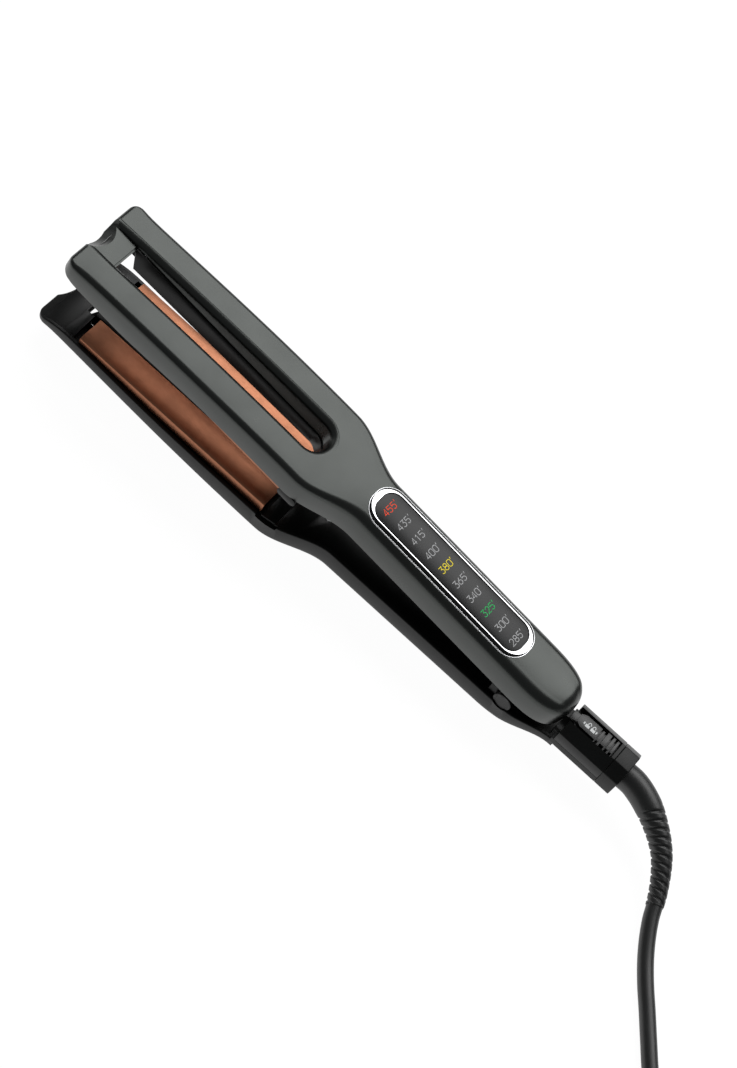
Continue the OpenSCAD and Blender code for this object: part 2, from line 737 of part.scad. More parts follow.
module display_board() {
    color("#1d5a38") centred() upper_arm() {
        translate([bezel_x0 + 6, -board_hw, board_h0]) cube([bezel_l - 16, 2 * board_hw, board_t]);
        for (i = [0 : 9])
            translate([bezel_x0 + 9.5 + i * (bezel_l - 24) / 9, -2.5, board_h0 + board_t - 0.1])
                cube([2, 5, 0.8]);
    }
}

module power_board() {
    color("#1d5a38") centred() lower_arm() {
        translate([neck_x1 + 2, -power_hw, power_h0]) cube([grip_l - 14, 2 * power_hw, board_t]);
        for (c = [[8, 10, 10, 3], [24, 8, 12, 3], [60, 12, 9, 2.6]])
            translate([neck_x1 + 2 + c[0], -c[2] / 2, power_h0 + board_t - 0.1]) cube([c[1], c[2], c[3]]);
        translate([neck_x1 + 42, 0, power_h0 + board_t + 1.3]) rod_y(1.6, -7, 7);
    }
}

module screws() {
    for (x = screw_xs) translate([x, 0, face_h(x) + head_d - 1]) {
        cylinder(r = screw_head_r, h = 1);
        cylinder(r = screw_r, h = 8);
    }
}

module lower_screws() { color("#5a5c5e") centred() lower_arm() screws(); }
module upper_screws() { color("#5a5c5e") centred() upper_arm() screws(); }

// ---- tail, lock and swivel ----

// Part of the eight-sided outline between two heights, measured from its middle
module tail_outline(z0, z1) {
    c = tail_chamfer;
    intersection() {
        polygon([
            [-tail_hw, -tail_hh + c], [-tail_hw + c, -tail_hh], [tail_hw - c, -tail_hh],
            [tail_hw, -tail_hh + c], [tail_hw, tail_hh - c], [tail_hw - c, tail_hh],
            [-tail_hw + c, tail_hh], [-tail_hw, tail_hh - c]
        ]);
        translate([-20, z0]) square([40, z1 - z0]);
    }
}

module tail_shell() {
    color("#2b2d2d") centred() difference() {
        translate([0, 0, hinge_z])
            along_x(tail_x0, ring_x0 - seat_gap) tail_outline(tail_seam_z + seat_gap - hinge_z, tail_hh);
        translate([0, 0, hinge_z]) rod_x(wire_r, tail_x0 - 4, ring_x0 + 1);
        translate([tail_x0 - 1, -recess_hw, tail_top - recess_d])
            cube([tail_l - 0.8, 2 * recess_hw, recess_d + 1]);
    }
}

module tail_end_ring() {
    color("#2b2d2d") centred() translate([0, 0, hinge_z]) difference() {
        along_x(ring_x0, overall_l) tail_outline(-tail_hh, tail_hh);
        rod_x(ring_bore_r, ring_x0 - 1, overall_l + 1);
        rod_x(flange_r + 0.3, ring_x0 - 1, ring_x0 + flange_l + 0.3);
    }
}

module lock_slider() {
    z0 = tail_top - recess_d + moving_gap / 2;
    hw = recess_hw - 0.25;
    x0 = tail_x0 - 1.2;
    pad_x0 = tail_x0 + 3.3;
    rib_xs = [tail_x0 + 15, tail_x0 + 19.6];
    x1 = rib_xs[1] + 2.6;
    color("#232525") centred() {
        translate([0, 0, z0]) linear_extrude(1.4) polygon([
            [x0, -1.8], [tail_x0 + 1.5, -2.2], [pad_x0, -hw], [x1, -hw],
            [x1, hw], [pad_x0, hw], [tail_x0 + 1.5, 2.6], [x0, 2.6]
        ]);
        translate([pad_x0, -hw, z0 + 1.3]) cube([9.3, 2 * hw, tail_top - 0.6 - z0 - 1.3]);
        for (x = rib_xs) translate([x, -hw, z0 + 1.3]) cube([2.6, 2 * hw, tail_top + 0.4 - z0 - 1.3]);
    }
}

module swivel_bush() {
    color("#3a3c3e") centred() translate([0, 0, hinge_z]) difference() {
        union() {
            rod_x(flange_r, ring_x0 + 0.15, ring_x0 + 0.15 + flange_l);
            rod_x(bush_r, ring_x0 + flange_l, overall_l - 0.1);
        }
        rod_x(bush_bore_r, ring_x0, overall_l + 1);
    }
}

// ---- cord ----

// Points between the chosen ones, on a smooth curve through them
function knot(pts, i) = pts[max(0, min(i, len(pts) - 1))];
function spline(pts, steps) = [
    for (i = [0 : len(pts) - 2], k = [0 : steps - 1])
        let (
            t = k / steps,
            a = knot(pts, i - 1), b = pts[i], c = pts[i + 1], d = knot(pts, i + 2)
        )
        0.5 * (2 * b + (c - a) * t + (2 * a - 5 * b + 4 * c - d) * t * t
            + (3 * b - a - 3 * c + d) * t * t * t),
    pts[len(pts) - 1]
];
function lengths(pts, i) = i == 0 ? [0] : let (l = lengths(pts, i - 1)) concat(l, [l[i - 1] + norm(pts[i] - pts[i - 1])]);

relief_start = [overall_l / 2 + 0.3, 0, hinge_z];
relief_base = [[0, 6.1], [8, 5.9], [15, 5.3], [24, 4.6], [36, 4.2], [48, 3.9], [60, 3.8]];
rib_start = 14;
rib_rise = 0.3;
rib_lead = 9;
rib_starts = 3;

// Round sleeve that tapers along the cord's first bend, with ribs that wind round it
module strain_relief() {
    pts = spline(concat([relief_start], relief_points), 4);
    run = lengths(pts, len(pts) - 1);
    sides = 12;
    side = carried(pts, 0, [0, 1, 0]);
    function radius(i, a) =
        lookup(run[i], relief_base)
        + (run[i] < rib_start ? 0 : rib_rise * cos(rib_starts * (a - 360 * run[i] / rib_lead / rib_starts)));
    color("#1c1e1e") {
        skin([
            for (i = [0 : len(pts) - 1])
                let (h = heading(pts, i), u = side[i], v = cross(h, u))
                    [for (k = [0 : sides - 1])
                        let (a = 360 * k / sides) pts[i] + (u * cos(a) + v * sin(a)) * radius(i, a)]
        ]);
        // stub that is held in the swivel bush
        translate([0, 0, hinge_z]) rod_x(bush_bore_r - 0.05, overall_l / 2 - ring_l + flange_l, overall_l / 2 + 1);
    }
}

// Heading of the coil at an angle round its centre
function coil_heading(a) = [-sin(a), cos(a), 0];

module cord_lead() {
    last = relief_points[len(relief_points) - 1];
    join = coil_point(0);
    route = concat([last], lead_points, [join - coil_heading(coil_start) * cord_d, join]);
    pts = spline(route, 2);
    color("#151616") tube(pts, [for (p = pts) cord_r], 8, [0, 0, 1]);
}

// Two layers: in from the rim of the coil below, out again above
coil_steps = 24;
coil_total = 2 * coil_turns * coil_steps;
function coil_layer(i) = ease((i / coil_total - 0.5) * coil_turns * 2 + 0.5);
function coil_r(i) = coil_out - coil_pitch * (coil_turns - abs(coil_turns - i / coil_steps));
coil_end = coil_start + 720 * coil_turns;
function coil_point(i) =
    let (
        a = coil_start + 360 * i / coil_steps,
        r = coil_r(i)
    )
    [coil_centre[0] + r * cos(a), coil_centre[1] + r * sin(a), mix(coil_z0, coil_z1, coil_layer(i))];

module cord_coil() {
    end = coil_point(coil_total);
    drop = [0, 0, plug_z - coil_z1];
    run = [for (t = [0.35, 0.7, 1]) end + coil_heading(coil_end) * tail_run * t + drop * ease((t - 0.3) / 0.7)];
    pts = concat([for (i = [0 : coil_total]) coil_point(i)], run);
    echo(least_coil_gap = min([
        for (i = [0 : coil_total - coil_steps / 2], j = [i + coil_steps / 2 : len(pts) - 1])
            norm(pts[i] - pts[j]) - cord_d
    ]));
    color("#151616") tube(pts, [for (p = pts) cord_r], 6, [0, 0, 1]);
}

// Strap round the bundle of turns
module cord_tie() {
    first = (tie_at + 360 - coil_start) / 360 * coil_steps;
    r0 = coil_r(first + 3 * coil_steps) - cord_r - 0.6;
    r1 = coil_r(first) + cord_r + 0.6;
    z1 = coil_z1 + cord_r + 0.6;
    color("#101111") translate([coil_centre[0], coil_centre[1], 0]) rotate([0, 0, tie_at]) {
        along_y(-5, 5) difference() {
            square_ring(r0 - tie_t, r1 + tie_t, 0, z1 + tie_t, 2.4);
            square_ring(r0, r1, tie_t, z1, 1.8);
        }
    }
}

module square_ring(x0, x1, z0, z1, r) {
    translate([x0 + r, z0]) square([x1 - x0 - 2 * r, z1 - z0]);
    translate([x0, z0 + r]) square([x1 - x0, z1 - z0 - 2 * r]);
    for (x = [x0 + r, x1 - r], z = [z0 + r, z1 - r]) translate([x, z]) circle(r);
}

// Frame at the cord's far end, pointing on along the cord
module at_plug() {
    end = coil_point(coil_total) + coil_heading(coil_end) * tail_run;
    translate([end[0], end[1], plug_z]) rotate([0, 0, coil_end + 90]) children();
}

module plug_body() {
    hw = 12.5;
    hh = plug_z;
    color("#151616") at_plug() {
        rod_x(5, 0, 8);
        translate([6, 0, 0]) hull() {
            rod_x(5.2, 0, 1);
            translate([12, -hw + 2, -hh + 2]) cube([plug_l - 16, 2 * hw - 4, 2 * hh - 4]);
            translate([10, -hw + 4, -hh]) cube([plug_l - 15, 2 * hw - 8, 2 * hh]);
            translate([10, -hw, -hh + 4]) cube([plug_l - 15, 2 * hw, 2 * hh - 8]);
        }
    }
}

module plug_blades() {
    blade_l = 17.5;
    color("#d8c58a") at_plug() for (y = [-6.35, 6.35])
        translate([plug_l + 2.1, y - 0.75, -3.2]) cube([blade_l, 1.5, 6.4]);
}

lower_housing();
upper_housing();
lower_plate_frame();
upper_plate_frame();
lower_handle_cover();
upper_handle_cover();
lower_near_plate();
lower_far_plate();
upper_near_plate();
upper_far_plate();
lower_near_heater();
lower_far_heater();
upper_near_heater();
upper_far_heater();
lower_near_cushions();
lower_far_cushions();
upper_near_cushions();
upper_far_cushions();
hinge_pin();
hinge_caps();
opening_spring();
display_bezel();
display_window();
display_board();
power_board();
lower_screws();
upper_screws();
tail_shell();
tail_end_ring();
lock_slider();
swivel_bush();
strain_relief();
cord_lead();
cord_coil();
cord_tie();
plug_body();
plug_blades();
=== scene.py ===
"""Looks of the hair iron: camera, materials, moulded shells, plates with their cushions,
opening spring, display, lock slider, cord, floor and lights.

Lengths are in millimetres unless a comment says otherwise. The shells repeat the outline
formulas of part.scad with more stations, so their surfaces come out smooth. As there, an
arm is drawn in its own depths: x from the jaws' tip, y across, and depth outward from the
plane where the plates meet when the iron is closed.
"""
from math import cos, pi, radians, sin, sqrt, tan

import bmesh
import bpy
from mathutils import Matrix, Vector


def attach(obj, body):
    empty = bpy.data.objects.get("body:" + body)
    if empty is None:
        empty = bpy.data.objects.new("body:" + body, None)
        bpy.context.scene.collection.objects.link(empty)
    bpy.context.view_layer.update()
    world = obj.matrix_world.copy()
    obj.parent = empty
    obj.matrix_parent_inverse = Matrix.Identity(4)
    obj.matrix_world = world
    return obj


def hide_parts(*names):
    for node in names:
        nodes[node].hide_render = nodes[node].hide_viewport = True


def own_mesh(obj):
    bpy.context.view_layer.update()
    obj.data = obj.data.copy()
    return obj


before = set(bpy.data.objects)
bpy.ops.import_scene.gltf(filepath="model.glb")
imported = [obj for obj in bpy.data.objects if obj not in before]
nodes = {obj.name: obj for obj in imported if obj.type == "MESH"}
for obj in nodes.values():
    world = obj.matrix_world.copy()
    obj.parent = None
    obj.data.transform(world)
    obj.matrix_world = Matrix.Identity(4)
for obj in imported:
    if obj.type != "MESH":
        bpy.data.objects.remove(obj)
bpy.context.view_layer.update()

MM = 0.001
scene = bpy.context.scene

# ---- sizes, with the names and values that they have in part.scad ----

plate_l = 104
plate_w = 13.3
plate_t = 2
plate_leg = 4.6  # how far the two legs behind a plate reach
slot_hw = 6.6  # half width of the slot between the plates
slot_crown_hw = 10.5  # the same at the crown, where the slot's edge rounds over
plate_x0 = 22  # front of the plates
channel = 1  # between a plate and the rim of the housing
jaw_rim = 6.2  # how far the plates stand out of the rim at their rear
front_rim = 3  # the same at the front
bill_rise = 4.2  # how far the tip of a jaw curves away from the other one
bill_l = 18  # length over which it curves away
bar_x1 = 14  # rear face of the bar across the slot at the tip
bar_h = 8.2
wall = 1.6
crown_h = 18.5  # depth of the crown
tip_drop = 8.5  # how much lower the crown is at the tip
shoulder_r = 5  # between the crown and the sides of the handle
jaw_shoulder_r = 3
draft = 6  # taper of the sides, in degrees
handle_hw = 14.6
neck_l = 32  # from the jaws to the handle
grip_l = 93  # from the neck to the hinge
handle_rim = 4.5
cover_t = 2  # thickness of the handles' inner covers
open_angle = 6.5  # how far the jaws stand open, in degrees
pin_d = 4
knuckle_d = 8.6
hinge_z = 17  # height of the hinge pin above the table
spring_wire = 1
spring_turns = 5
tail_hw = 9.5
tail_hh = 10  # half height of the tail
tail_chamfer = 5.1
tail_l = 24
ring_l = 7.7  # length of the tail's end ring
bezel_l = 90
bezel_hw = 10.2
bezel_side = 1.3  # width of the display's ring along its sides
cord_d = 7
coil_d = 80  # mean diameter of the coil of spare cord

seat_gap = 0.1  # between pieces that are fixed to each other
face_gap = 0.05  # between a plate's face and the meeting plane
moving_gap = 0.35  # between pieces that move past each other

plate_x1 = plate_x0 + plate_l
slot_x1 = plate_x1 + 1
neck_x0 = plate_x1 + 2
neck_x1 = neck_x0 + neck_l
hinge_x = neck_x1 + grip_l
arm_x1 = hinge_x + 22.5  # rear end of the upper arm
tail_x0 = hinge_x + 26
ring_x0 = tail_x0 + tail_l
overall_l = ring_x0 + ring_l
frame_x1 = neck_x0 + 6  # where the plate frame meets the handle's cover
bezel_x0 = neck_x1 - 5
bezel_x1 = bezel_x0 + bezel_l
bezel_end = 4.5

frame_wall = 0.9
plate_in = slot_hw + frame_wall + 0.3
plate_out = plate_in + plate_w
jaw_hw = plate_out + channel + wall
tip_hw = jaw_hw - 0.7
tip_r = 5
recess_hw = 4.6  # half width of the slider's recess in the tail
wire_r = 5.4  # bore of the tail
knuckle_r = knuckle_d / 2

frame_h = 8.2  # back of the plate frames
front_h = 6.6  # back of their thinner front
leg_h = plate_t + plate_leg  # back of a plate's legs
pocket_h = frame_h + 1.2  # floor of the pockets behind the plates
lining_h = 5  # edge of the slot's lining
tail_h = crown_h - (hinge_z - tail_hh)
tail_seam_z = hinge_z - 1.4
tip_fall = 2  # rounding of the crown at the tip
end_fall = 7  # rounding of the crown at the upper arm's end
end_rise = 3  # rounding of the rim at the upper arm's end
camber = 0.5  # rise of the crown's middle
bezel_h0, bezel_h1 = crown_h - 1.3, crown_h + 0.4


# ---- camera ----

photo_h, focal_px = 1068, 2810.5
sensor_mm = 36
camera_at = (0.0974, -0.6375, 0.9956)  # metres
camera_turn = (28.25, -18.73, 38.66)  # degrees
view_reach = 20  # metres

camera = bpy.data.objects.new("camera", bpy.data.cameras.new("camera"))
scene.collection.objects.link(camera)
camera.location = camera_at
camera.rotation_euler = [radians(a) for a in camera_turn]
camera.data.sensor_fit = "VERTICAL"
camera.data.sensor_height = sensor_mm
camera.data.lens = sensor_mm * focal_px / photo_h
camera.data.clip_end = view_reach
scene.camera = camera
scene.view_settings.view_transform = "Standard"


# ---- small tools ----

def mix(a, b, t):
    return a + (b - a) * t


def ease(t):
    t = min(max(t, 0), 1)
    return t * t * (3 - 2 * t)


def corner(d, r):
    """What a corner of radius r takes away at a distance d inside the edge."""
    return 0 if d >= r else r - sqrt(r * r - (r - max(d, 0)) ** 2)


def spread(x0, x1, count):
    """Evenly spaced values from x0 to x1, both included."""
    return [mix(x0, x1, i / (count - 1)) for i in range(count)]


def crowded(x0, x1, count):
    """Values from x0 to x1 that crowd towards x1."""
    return [mix(x0, x1, sin(pi / 2 * i / (count - 1))) for i in range(count)]


def circle(r, sides):
    """Points round a circle about the origin."""
    return [(r * cos(2 * pi * i / sides), r * sin(2 * pi * i / sides)) for i in range(sides)]


def arc(cx, cy, rx, ry, a0, a1, steps=8):
    """Points of an ellipse about (cx, cy), from one angle to another in degrees."""
    return [(cx + rx * cos(radians(a)), cy + ry * sin(radians(a))) for a in spread(a0, a1, steps + 1)]


def rounded_bar(x0, x1, hw, r, steps=16):
    """Outline of a flat bar with round corners."""
    corners = ((x1 - r, hw - r, 0), (x0 + r, hw - r, 90), (x0 + r, r - hw, 180), (x1 - r, r - hw, 270))
    return [p for cx, cy, a0 in corners for p in arc(cx, cy, r, r, a0, a0 + 90, steps)]


def mesh_from(bm, name):
    mesh = bpy.data.meshes.new(name)
    bm.to_mesh(mesh)
    bm.free()
    return mesh


def new_object(name, mesh):
    obj = bpy.data.objects.new(name, mesh)
    scene.collection.objects.link(obj)
    return obj


def skin(rings, closed=False):
    """Solid through rings of as many points each; closed joins the last ring to the first."""
    bm = bmesh.new()
    rows = [[bm.verts.new(p) for p in ring] for ring in rings]
    pairs = list(zip(rows, rows[1:]))
    if closed:
        pairs.append((rows[-1], rows[0]))
    for a, b in pairs:
        for i in range(len(a)):
            j = (i + 1) % len(a)
            bm.faces.new((a[i], a[j], b[j], b[i]))
    if not closed:
        bm.faces.new(rows[0][::-1])
        bm.faces.new(rows[-1])
    bmesh.ops.recalc_face_normals(bm, faces=bm.faces)
    return new_object("solid", mesh_from(bm, "solid"))


def prism(outline, z0, z1):
    return skin([[(x, y, z) for x, y in outline] for z in (z0, z1)])


def prism_y(outline, y0, y1):
    return skin([[(x, y, z) for x, z in outline] for y in (y0, y1)])


def prism_x(outline, x0, x1):
    return skin([[(x, y, z) for y, z in outline] for x in (x0, x1)])


def rod(a, b, r, sides=96):
    """Cylinder between two points."""
    a, b = Vector(a), Vector(b)
    turn = (b - a).to_track_quat("Z", "Y").to_matrix()
    ring = [turn @ Vector((x, y, 0)) for x, y in circle(r, sides)]
    return skin([[p + a for p in ring], [p + b for p in ring]])


def carried_sides(pts, first):
    """Two directions across the line at each point, carried along it without twist."""
    out, side = [], Vector(first)
    for i in range(len(pts)):
        ahead = (pts[min(i + 1, len(pts) - 1)] - pts[max(i - 1, 0)]).normalized()
        side = (side - ahead * side.dot(ahead)).normalized()
        out.append((side, ahead.cross(side)))
    return out


def tube(pts, r, first, sides=20):
    """Round wire through points; first is a direction across its start."""
    pts = [Vector(p) for p in pts]
    return skin([[p + (u * c + v * s) * r for c, s in circle(1, sides)]
                 for p, (u, v) in zip(pts, carried_sides(pts, first))])


def box_solid(low, high):
    (x0, y0, z0), (x1, y1, z1) = low, high
    return prism([(x0, y0), (x1, y0), (x1, y1), (x0, y1)], z0, z1)


def combined(base, operation, tools):
    """Base with the tools cut from it or joined to it; the tools are used up."""
    for tool in tools:
        change = base.modifiers.new(operation, "BOOLEAN")
        change.operation = operation
        change.solver = "MANIFOLD"
        change.object = tool
    bpy.context.view_layer.update()
    done = bpy.data.meshes.new_from_object(base.evaluated_get(bpy.context.evaluated_depsgraph_get()))
    base.modifiers.clear()
    base.data = done
    for tool in tools:
        bpy.data.objects.remove(tool)
    return base


def cut(base, *tools):
    return combined(base, "DIFFERENCE", tools)


def joined(base, *tools):
    return combined(base, "UNION", tools)


def smooth(obj, angle=32):
    """Smooth shading, with edges sharper than the angle kept."""
    obj.data.shade_smooth()
    obj.data.set_sharp_from_angle(angle=radians(angle))
    return obj


def finished(obj, name, body, material, replaces=()):
    """Names a piece, gives it its material and hangs it on its body."""
    obj.name = name
    obj.data.name = name
    obj.data.materials.clear()
    obj.data.materials.append(material)
    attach(obj, body)
    if replaces:
        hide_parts(*replaces)
    return obj


# From an arm's own depths to the row's frame, both in mm
lower_place = Matrix.Translation((-overall_l / 2, 0, crown_h)) @ Matrix.Diagonal((1, 1, -1, 1))
upper_place = (
    Matrix.Translation((-overall_l / 2 + hinge_x, 0, hinge_z)) @ Matrix.Rotation(radians(open_angle), 4, "Y")
    @ Matrix.Translation((-hinge_x, 0, crown_h - hinge_z))
)


def at_lower(obj):
    """From the lower arm's depths in mm to the row's frame in metres."""
    obj.data.transform(Matrix.Scale(MM, 4) @ lower_place)
    obj.data.flip_normals()
    return obj


def at_upper(obj):
    """From the upper arm's depths in mm to the row's frame in metres, with the arm open."""
    obj.data.transform(Matrix.Scale(MM, 4) @ upper_place)
    return obj


def in_row(obj):
    """From x along the iron and z above the table, in mm, to the row's frame in metres."""
    obj.data.transform(Matrix.Scale(MM, 4) @ Matrix.Translation((-overall_l / 2, 0, 0)))
    return obj


# ---- materials ----

def shader(name, base, metallic=0.0, roughness=0.5, specular=0.5):
    """Principled material; returns it with its node tree, its shader and its coordinates."""
    m = bpy.data.materials.new(name)
    m.use_nodes = True
    tree = m.node_tree
    principled = tree.nodes["Principled BSDF"]
    principled.inputs["Base Color"].default_value = (*base, 1)
    principled.inputs["Metallic"].default_value = metallic
    principled.inputs["Roughness"].default_value = roughness
    principled.inputs["Specular IOR Level"].default_value = specular
    where = tree.nodes.new("ShaderNodeTexCoord").outputs["Object"]
    return m, tree, principled, where


def noise(tree, where, size, detail=3.0, stretch=(1, 1, 1)):
    """Noise whose blobs are about size millimetres across; returns its value."""
    mapping = tree.nodes.new("ShaderNodeMapping")
    mapping.inputs["Scale"].default_value = stretch
    tree.links.new(where, mapping.inputs["Vector"])
    tex = tree.nodes.new("ShaderNodeTexNoise")
    tex.inputs["Scale"].default_value = 1 / (size * MM)
    tex.inputs["Detail"].default_value = detail
    tree.links.new(mapping.outputs["Vector"], tex.inputs["Vector"])
    return tex.outputs["Fac"]


def vary_sheen(tree, principled, fac, low, high):
    """Varies the roughness with a noise, most of which lies from 0.3 to 0.7."""
    ramp = tree.nodes.new("ShaderNodeMapRange")
    ramp.inputs["From Min"].default_value = 0.3
    ramp.inputs["From Max"].default_value = 0.7
    ramp.inputs["To Min"].default_value = low
    ramp.inputs["To Max"].default_value = high
    tree.links.new(fac, ramp.inputs["Value"])
    tree.links.new(ramp.outputs["Result"], principled.inputs["Roughness"])


def vary_colour(tree, principled, fac, dark, light):
    """Varies the colour between two with a noise."""
    ramp = tree.nodes.new("ShaderNodeValToRGB")
    ramp.color_ramp.elements[0].position = 0.35
    ramp.color_ramp.elements[0].color = (*dark, 1)
    ramp.color_ramp.elements[1].position = 0.65
    ramp.color_ramp.elements[1].color = (*light, 1)
    tree.links.new(fac, ramp.inputs["Fac"])
    tree.links.new(ramp.outputs["Color"], principled.inputs["Base Color"])


def bump(tree, principled, height, distance, strength=0.5):
    node = tree.nodes.new("ShaderNodeBump")
    node.inputs["Strength"].default_value = strength
    node.inputs["Distance"].default_value = distance * MM
    tree.links.new(height, node.inputs["Height"])
    tree.links.new(node.outputs["Normal"], principled.inputs["Normal"])


def moulded(name, base, roughness, grain=0.35, depth=0.012, specular=0.5, sheen_tint=(1, 1, 1)):
    """Moulded plastic with a fine spark texture and slightly uneven sheen."""
    m, tree, principled, where = shader(name, base, roughness=roughness, specular=specular)
    principled.inputs["Specular Tint"].default_value = (*sheen_tint, 1)
    vary_sheen(tree, principled, noise(tree, where, 14), roughness - 0.03, roughness + 0.03)
    vary_colour(tree, principled, noise(tree, where, 9), [c * 0.93 for c in base], [c * 1.07 for c in base])
    bump(tree, principled, noise(tree, where, grain, detail=2), depth)
    return m


def brushed(name, base, roughness, along=(0.06, 1, 1), depth=0.004):
    """Metal or metallic coat with fine lines along one direction."""
    m, tree, principled, where = shader(name, base, metallic=1, roughness=roughness)
    lines = noise(tree, where, 0.16, detail=4, stretch=along)
    vary_sheen(tree, principled, lines, roughness - 0.05, roughness + 0.06)
    vary_colour(tree, principled, noise(tree, where, 6), [c * 0.92 for c in base], [min(c * 1.08, 1) for c in base])
    bump(tree, principled, lines, depth)
    return m


def plated(name, base, roughness):
    """Bright plating with faint wipe marks."""
    m, tree, principled, where = shader(name, base, metallic=1, roughness=roughness)
    vary_sheen(tree, principled, noise(tree, where, 3, detail=5), roughness, roughness + 0.05)
    return m


def glassy(name, base, roughness, specular=0.5):
    """Smooth tinted plastic with faint smudges in its sheen."""
    m, tree, principled, where = shader(name, base, roughness=roughness, specular=specular)
    vary_sheen(tree, principled, noise(tree, where, 20), roughness - 0.03, roughness + 0.03)
    return m


def printed(name, base, glow=0.0):
    """Ink whose colour varies a little, with a painted glow: light it gives off though it is no lamp."""
    m, tree, principled, where = shader(name, base, roughness=0.55)
    vary_colour(tree, principled, noise(tree, where, 0.8), [c * 0.9 for c in base], base)
    principled.inputs["Emission Color"].default_value = (*base, 1)
    # painted glow: the ink gives off light of its own, though it is no lamp
    principled.inputs["Emission Strength"].default_value = glow
    return m


def woven(name, base, pitch=0.6):
    """Woven strap."""
    m, tree, principled, where = shader(name, base, roughness=0.8)
    mapping = tree.nodes.new("ShaderNodeMapping")
    mapping.inputs["Rotation"].default_value = (radians(45), 0, radians(45))
    tree.links.new(where, mapping.inputs["Vector"])
    weave = tree.nodes.new("ShaderNodeTexChecker")
    weave.inputs["Scale"].default_value = 1 / (pitch * MM)
    tree.links.new(mapping.outputs["Vector"], weave.inputs["Vector"])
    bump(tree, principled, weave.outputs["Fac"], 0.15)
    return m


shell_plastic = moulded("shell_plastic", (0.0052, 0.0059, 0.0053), 0.3, depth=0.008, specular=0.72,
                        sheen_tint=(0.945, 1, 0.955))
tail_plastic = moulded("tail_plastic", (0.0045, 0.005, 0.0047), 0.36, depth=0.008, specular=0.26)
# painted shade: a darker, duller copy of the shell plastic, so the lower arm's shell looks shaded
shaded_under_plastic = moulded("shaded_under_plastic", (0.004, 0.0044, 0.0041), 0.42, depth=0.008, specular=0.3)
insert_plastic = moulded("insert_plastic", (0.003, 0.0032, 0.0031), 0.34, depth=0.008, specular=0.3)
slider_plastic = moulded("slider_plastic", (0.006, 0.0065, 0.0064), 0.4, grain=0.25, specular=0.7)
copper_coat = brushed("copper_coat", (0.44, 0.19, 0.108), 0.48)
ceramic = moulded("ceramic", (0.62, 0.58, 0.5), 0.7, grain=0.2)
silicone = moulded("silicone", (0.2, 0.21, 0.215), 0.6, grain=0.6)
turned_steel = brushed("turned_steel", (0.6, 0.61, 0.62), 0.28, along=(1, 1, 0.1))
wire_steel = brushed("wire_steel", (0.62, 0.63, 0.65), 0.22)
chrome = plated("chrome", (0.86, 0.87, 0.88), 0.08)
screen_black = glassy("screen_black", (0.008, 0.0082, 0.0088), 0.28, specular=0.35)
surround_black = glassy("surround_black", (0.0025, 0.0025, 0.0027), 0.18)
board_green = moulded("board_green", (0.02, 0.12, 0.05), 0.35, grain=0.8)
cord_rubber = moulded("cord_rubber", (0.0055, 0.006, 0.0058), 0.42, grain=0.3, depth=0.012, specular=0.75)
strap_weave = woven("strap_weave", (0.012, 0.012, 0.013))
blade_brass = brushed("blade_brass", (0.8, 0.66, 0.36), 0.25)
# the last number of each ink is its painted glow, light that printed ink does not give off
ink_white = printed("ink_white", (0.75, 0.76, 0.76), 0.25)
ink_grey = printed("ink_grey", (0.42, 0.425, 0.43), 0.5)
ink_red = printed("ink_red", (0.78, 0.075, 0.02), 0.55)
ink_yellow = printed("ink_yellow", (0.8, 0.68, 0.03), 0.5)
ink_green = printed("ink_green", (0.012, 0.38, 0.1), 0.7)


# ---- outline of an arm, as in part.scad ----

flare_x1 = 0.8 * neck_x0  # where the jaw has its full width
waist_x0 = hinge_x + 2  # where the lower arm starts to narrow to the tail
belly_x0 = hinge_x - 8  # where its underside starts to rise to the tail's
end_x0 = hinge_x - 3  # where the upper arm's rounded end starts
end_power, end_root = 3, 0.36  # how full that end is
tail_inset = 0.2  # how far the lower arm's end stays inside the tail
dip_x1 = plate_x1 - 1  # where the crown's dip to the tip ends
dip_power = 1.5
rim_x1 = plate_x0 + 58  # where the rim has its full depth
skirt_drop = 3.8  # how much further the upper jaw's sides reach at its front
skirt_x0, skirt_l = 30, 80  # over what length they draw back
skirt_gap = 0.5  # from the sides to the meeting plane
lower_lip, upper_lip = 0.55, 0.35  # rounding of the two rims
least_r = 0.3  # of the shoulders
crown_steps = 6
cover_inset = 0.4  # from the rim to a handle's cover


def half_width(x, lower):
    jaw = mix(tip_hw, jaw_hw, ease(x / flare_x1)) - corner(x, tip_r)
    body = mix(jaw, handle_hw, ease((x - neck_x0) / neck_l))
    if lower:
        return mix(body, tail_hw - tail_inset, ease((x - waist_x0) / (tail_x0 - waist_x0)))
    t = (x - end_x0) / (arm_x1 - end_x0)
    return body if t <= 0 else body * max(1 - t ** end_power, 0) ** end_root


def crown(x, lower):
    body = crown_h - tip_drop * max(1 - x / dip_x1, 0) ** dip_power - corner(x, tip_fall)
    if lower:
        return mix(body, tail_h - tail_inset, ease((x - belly_x0) / (tail_x0 - belly_x0)))
    return body - corner(arm_x1 - x, end_fall)


def bill(x):
    return 0 if x >= bill_l else bill_rise * ((bill_l - x) / bill_l) ** 2


def rim(x, lower):
    rise = (handle_rim - jaw_rim) * ease((x - frame_x1) / (neck_x1 - frame_x1))
    front = mix(front_rim, jaw_rim, ease(x / rim_x1))
    return front + bill(x) + rise + (0 if lower else corner(arm_x1 - x, end_rise))


def skirt(x):
    """How much further the upper jaw's sides reach down at its front."""
    return skirt_drop * (1 - ease((x - skirt_x0) / skirt_l))


def doming(rise):
    """Rise of the upper arm's crown at its middle, for an arm of a given depth."""
    return min(camber, rise * 0.05)


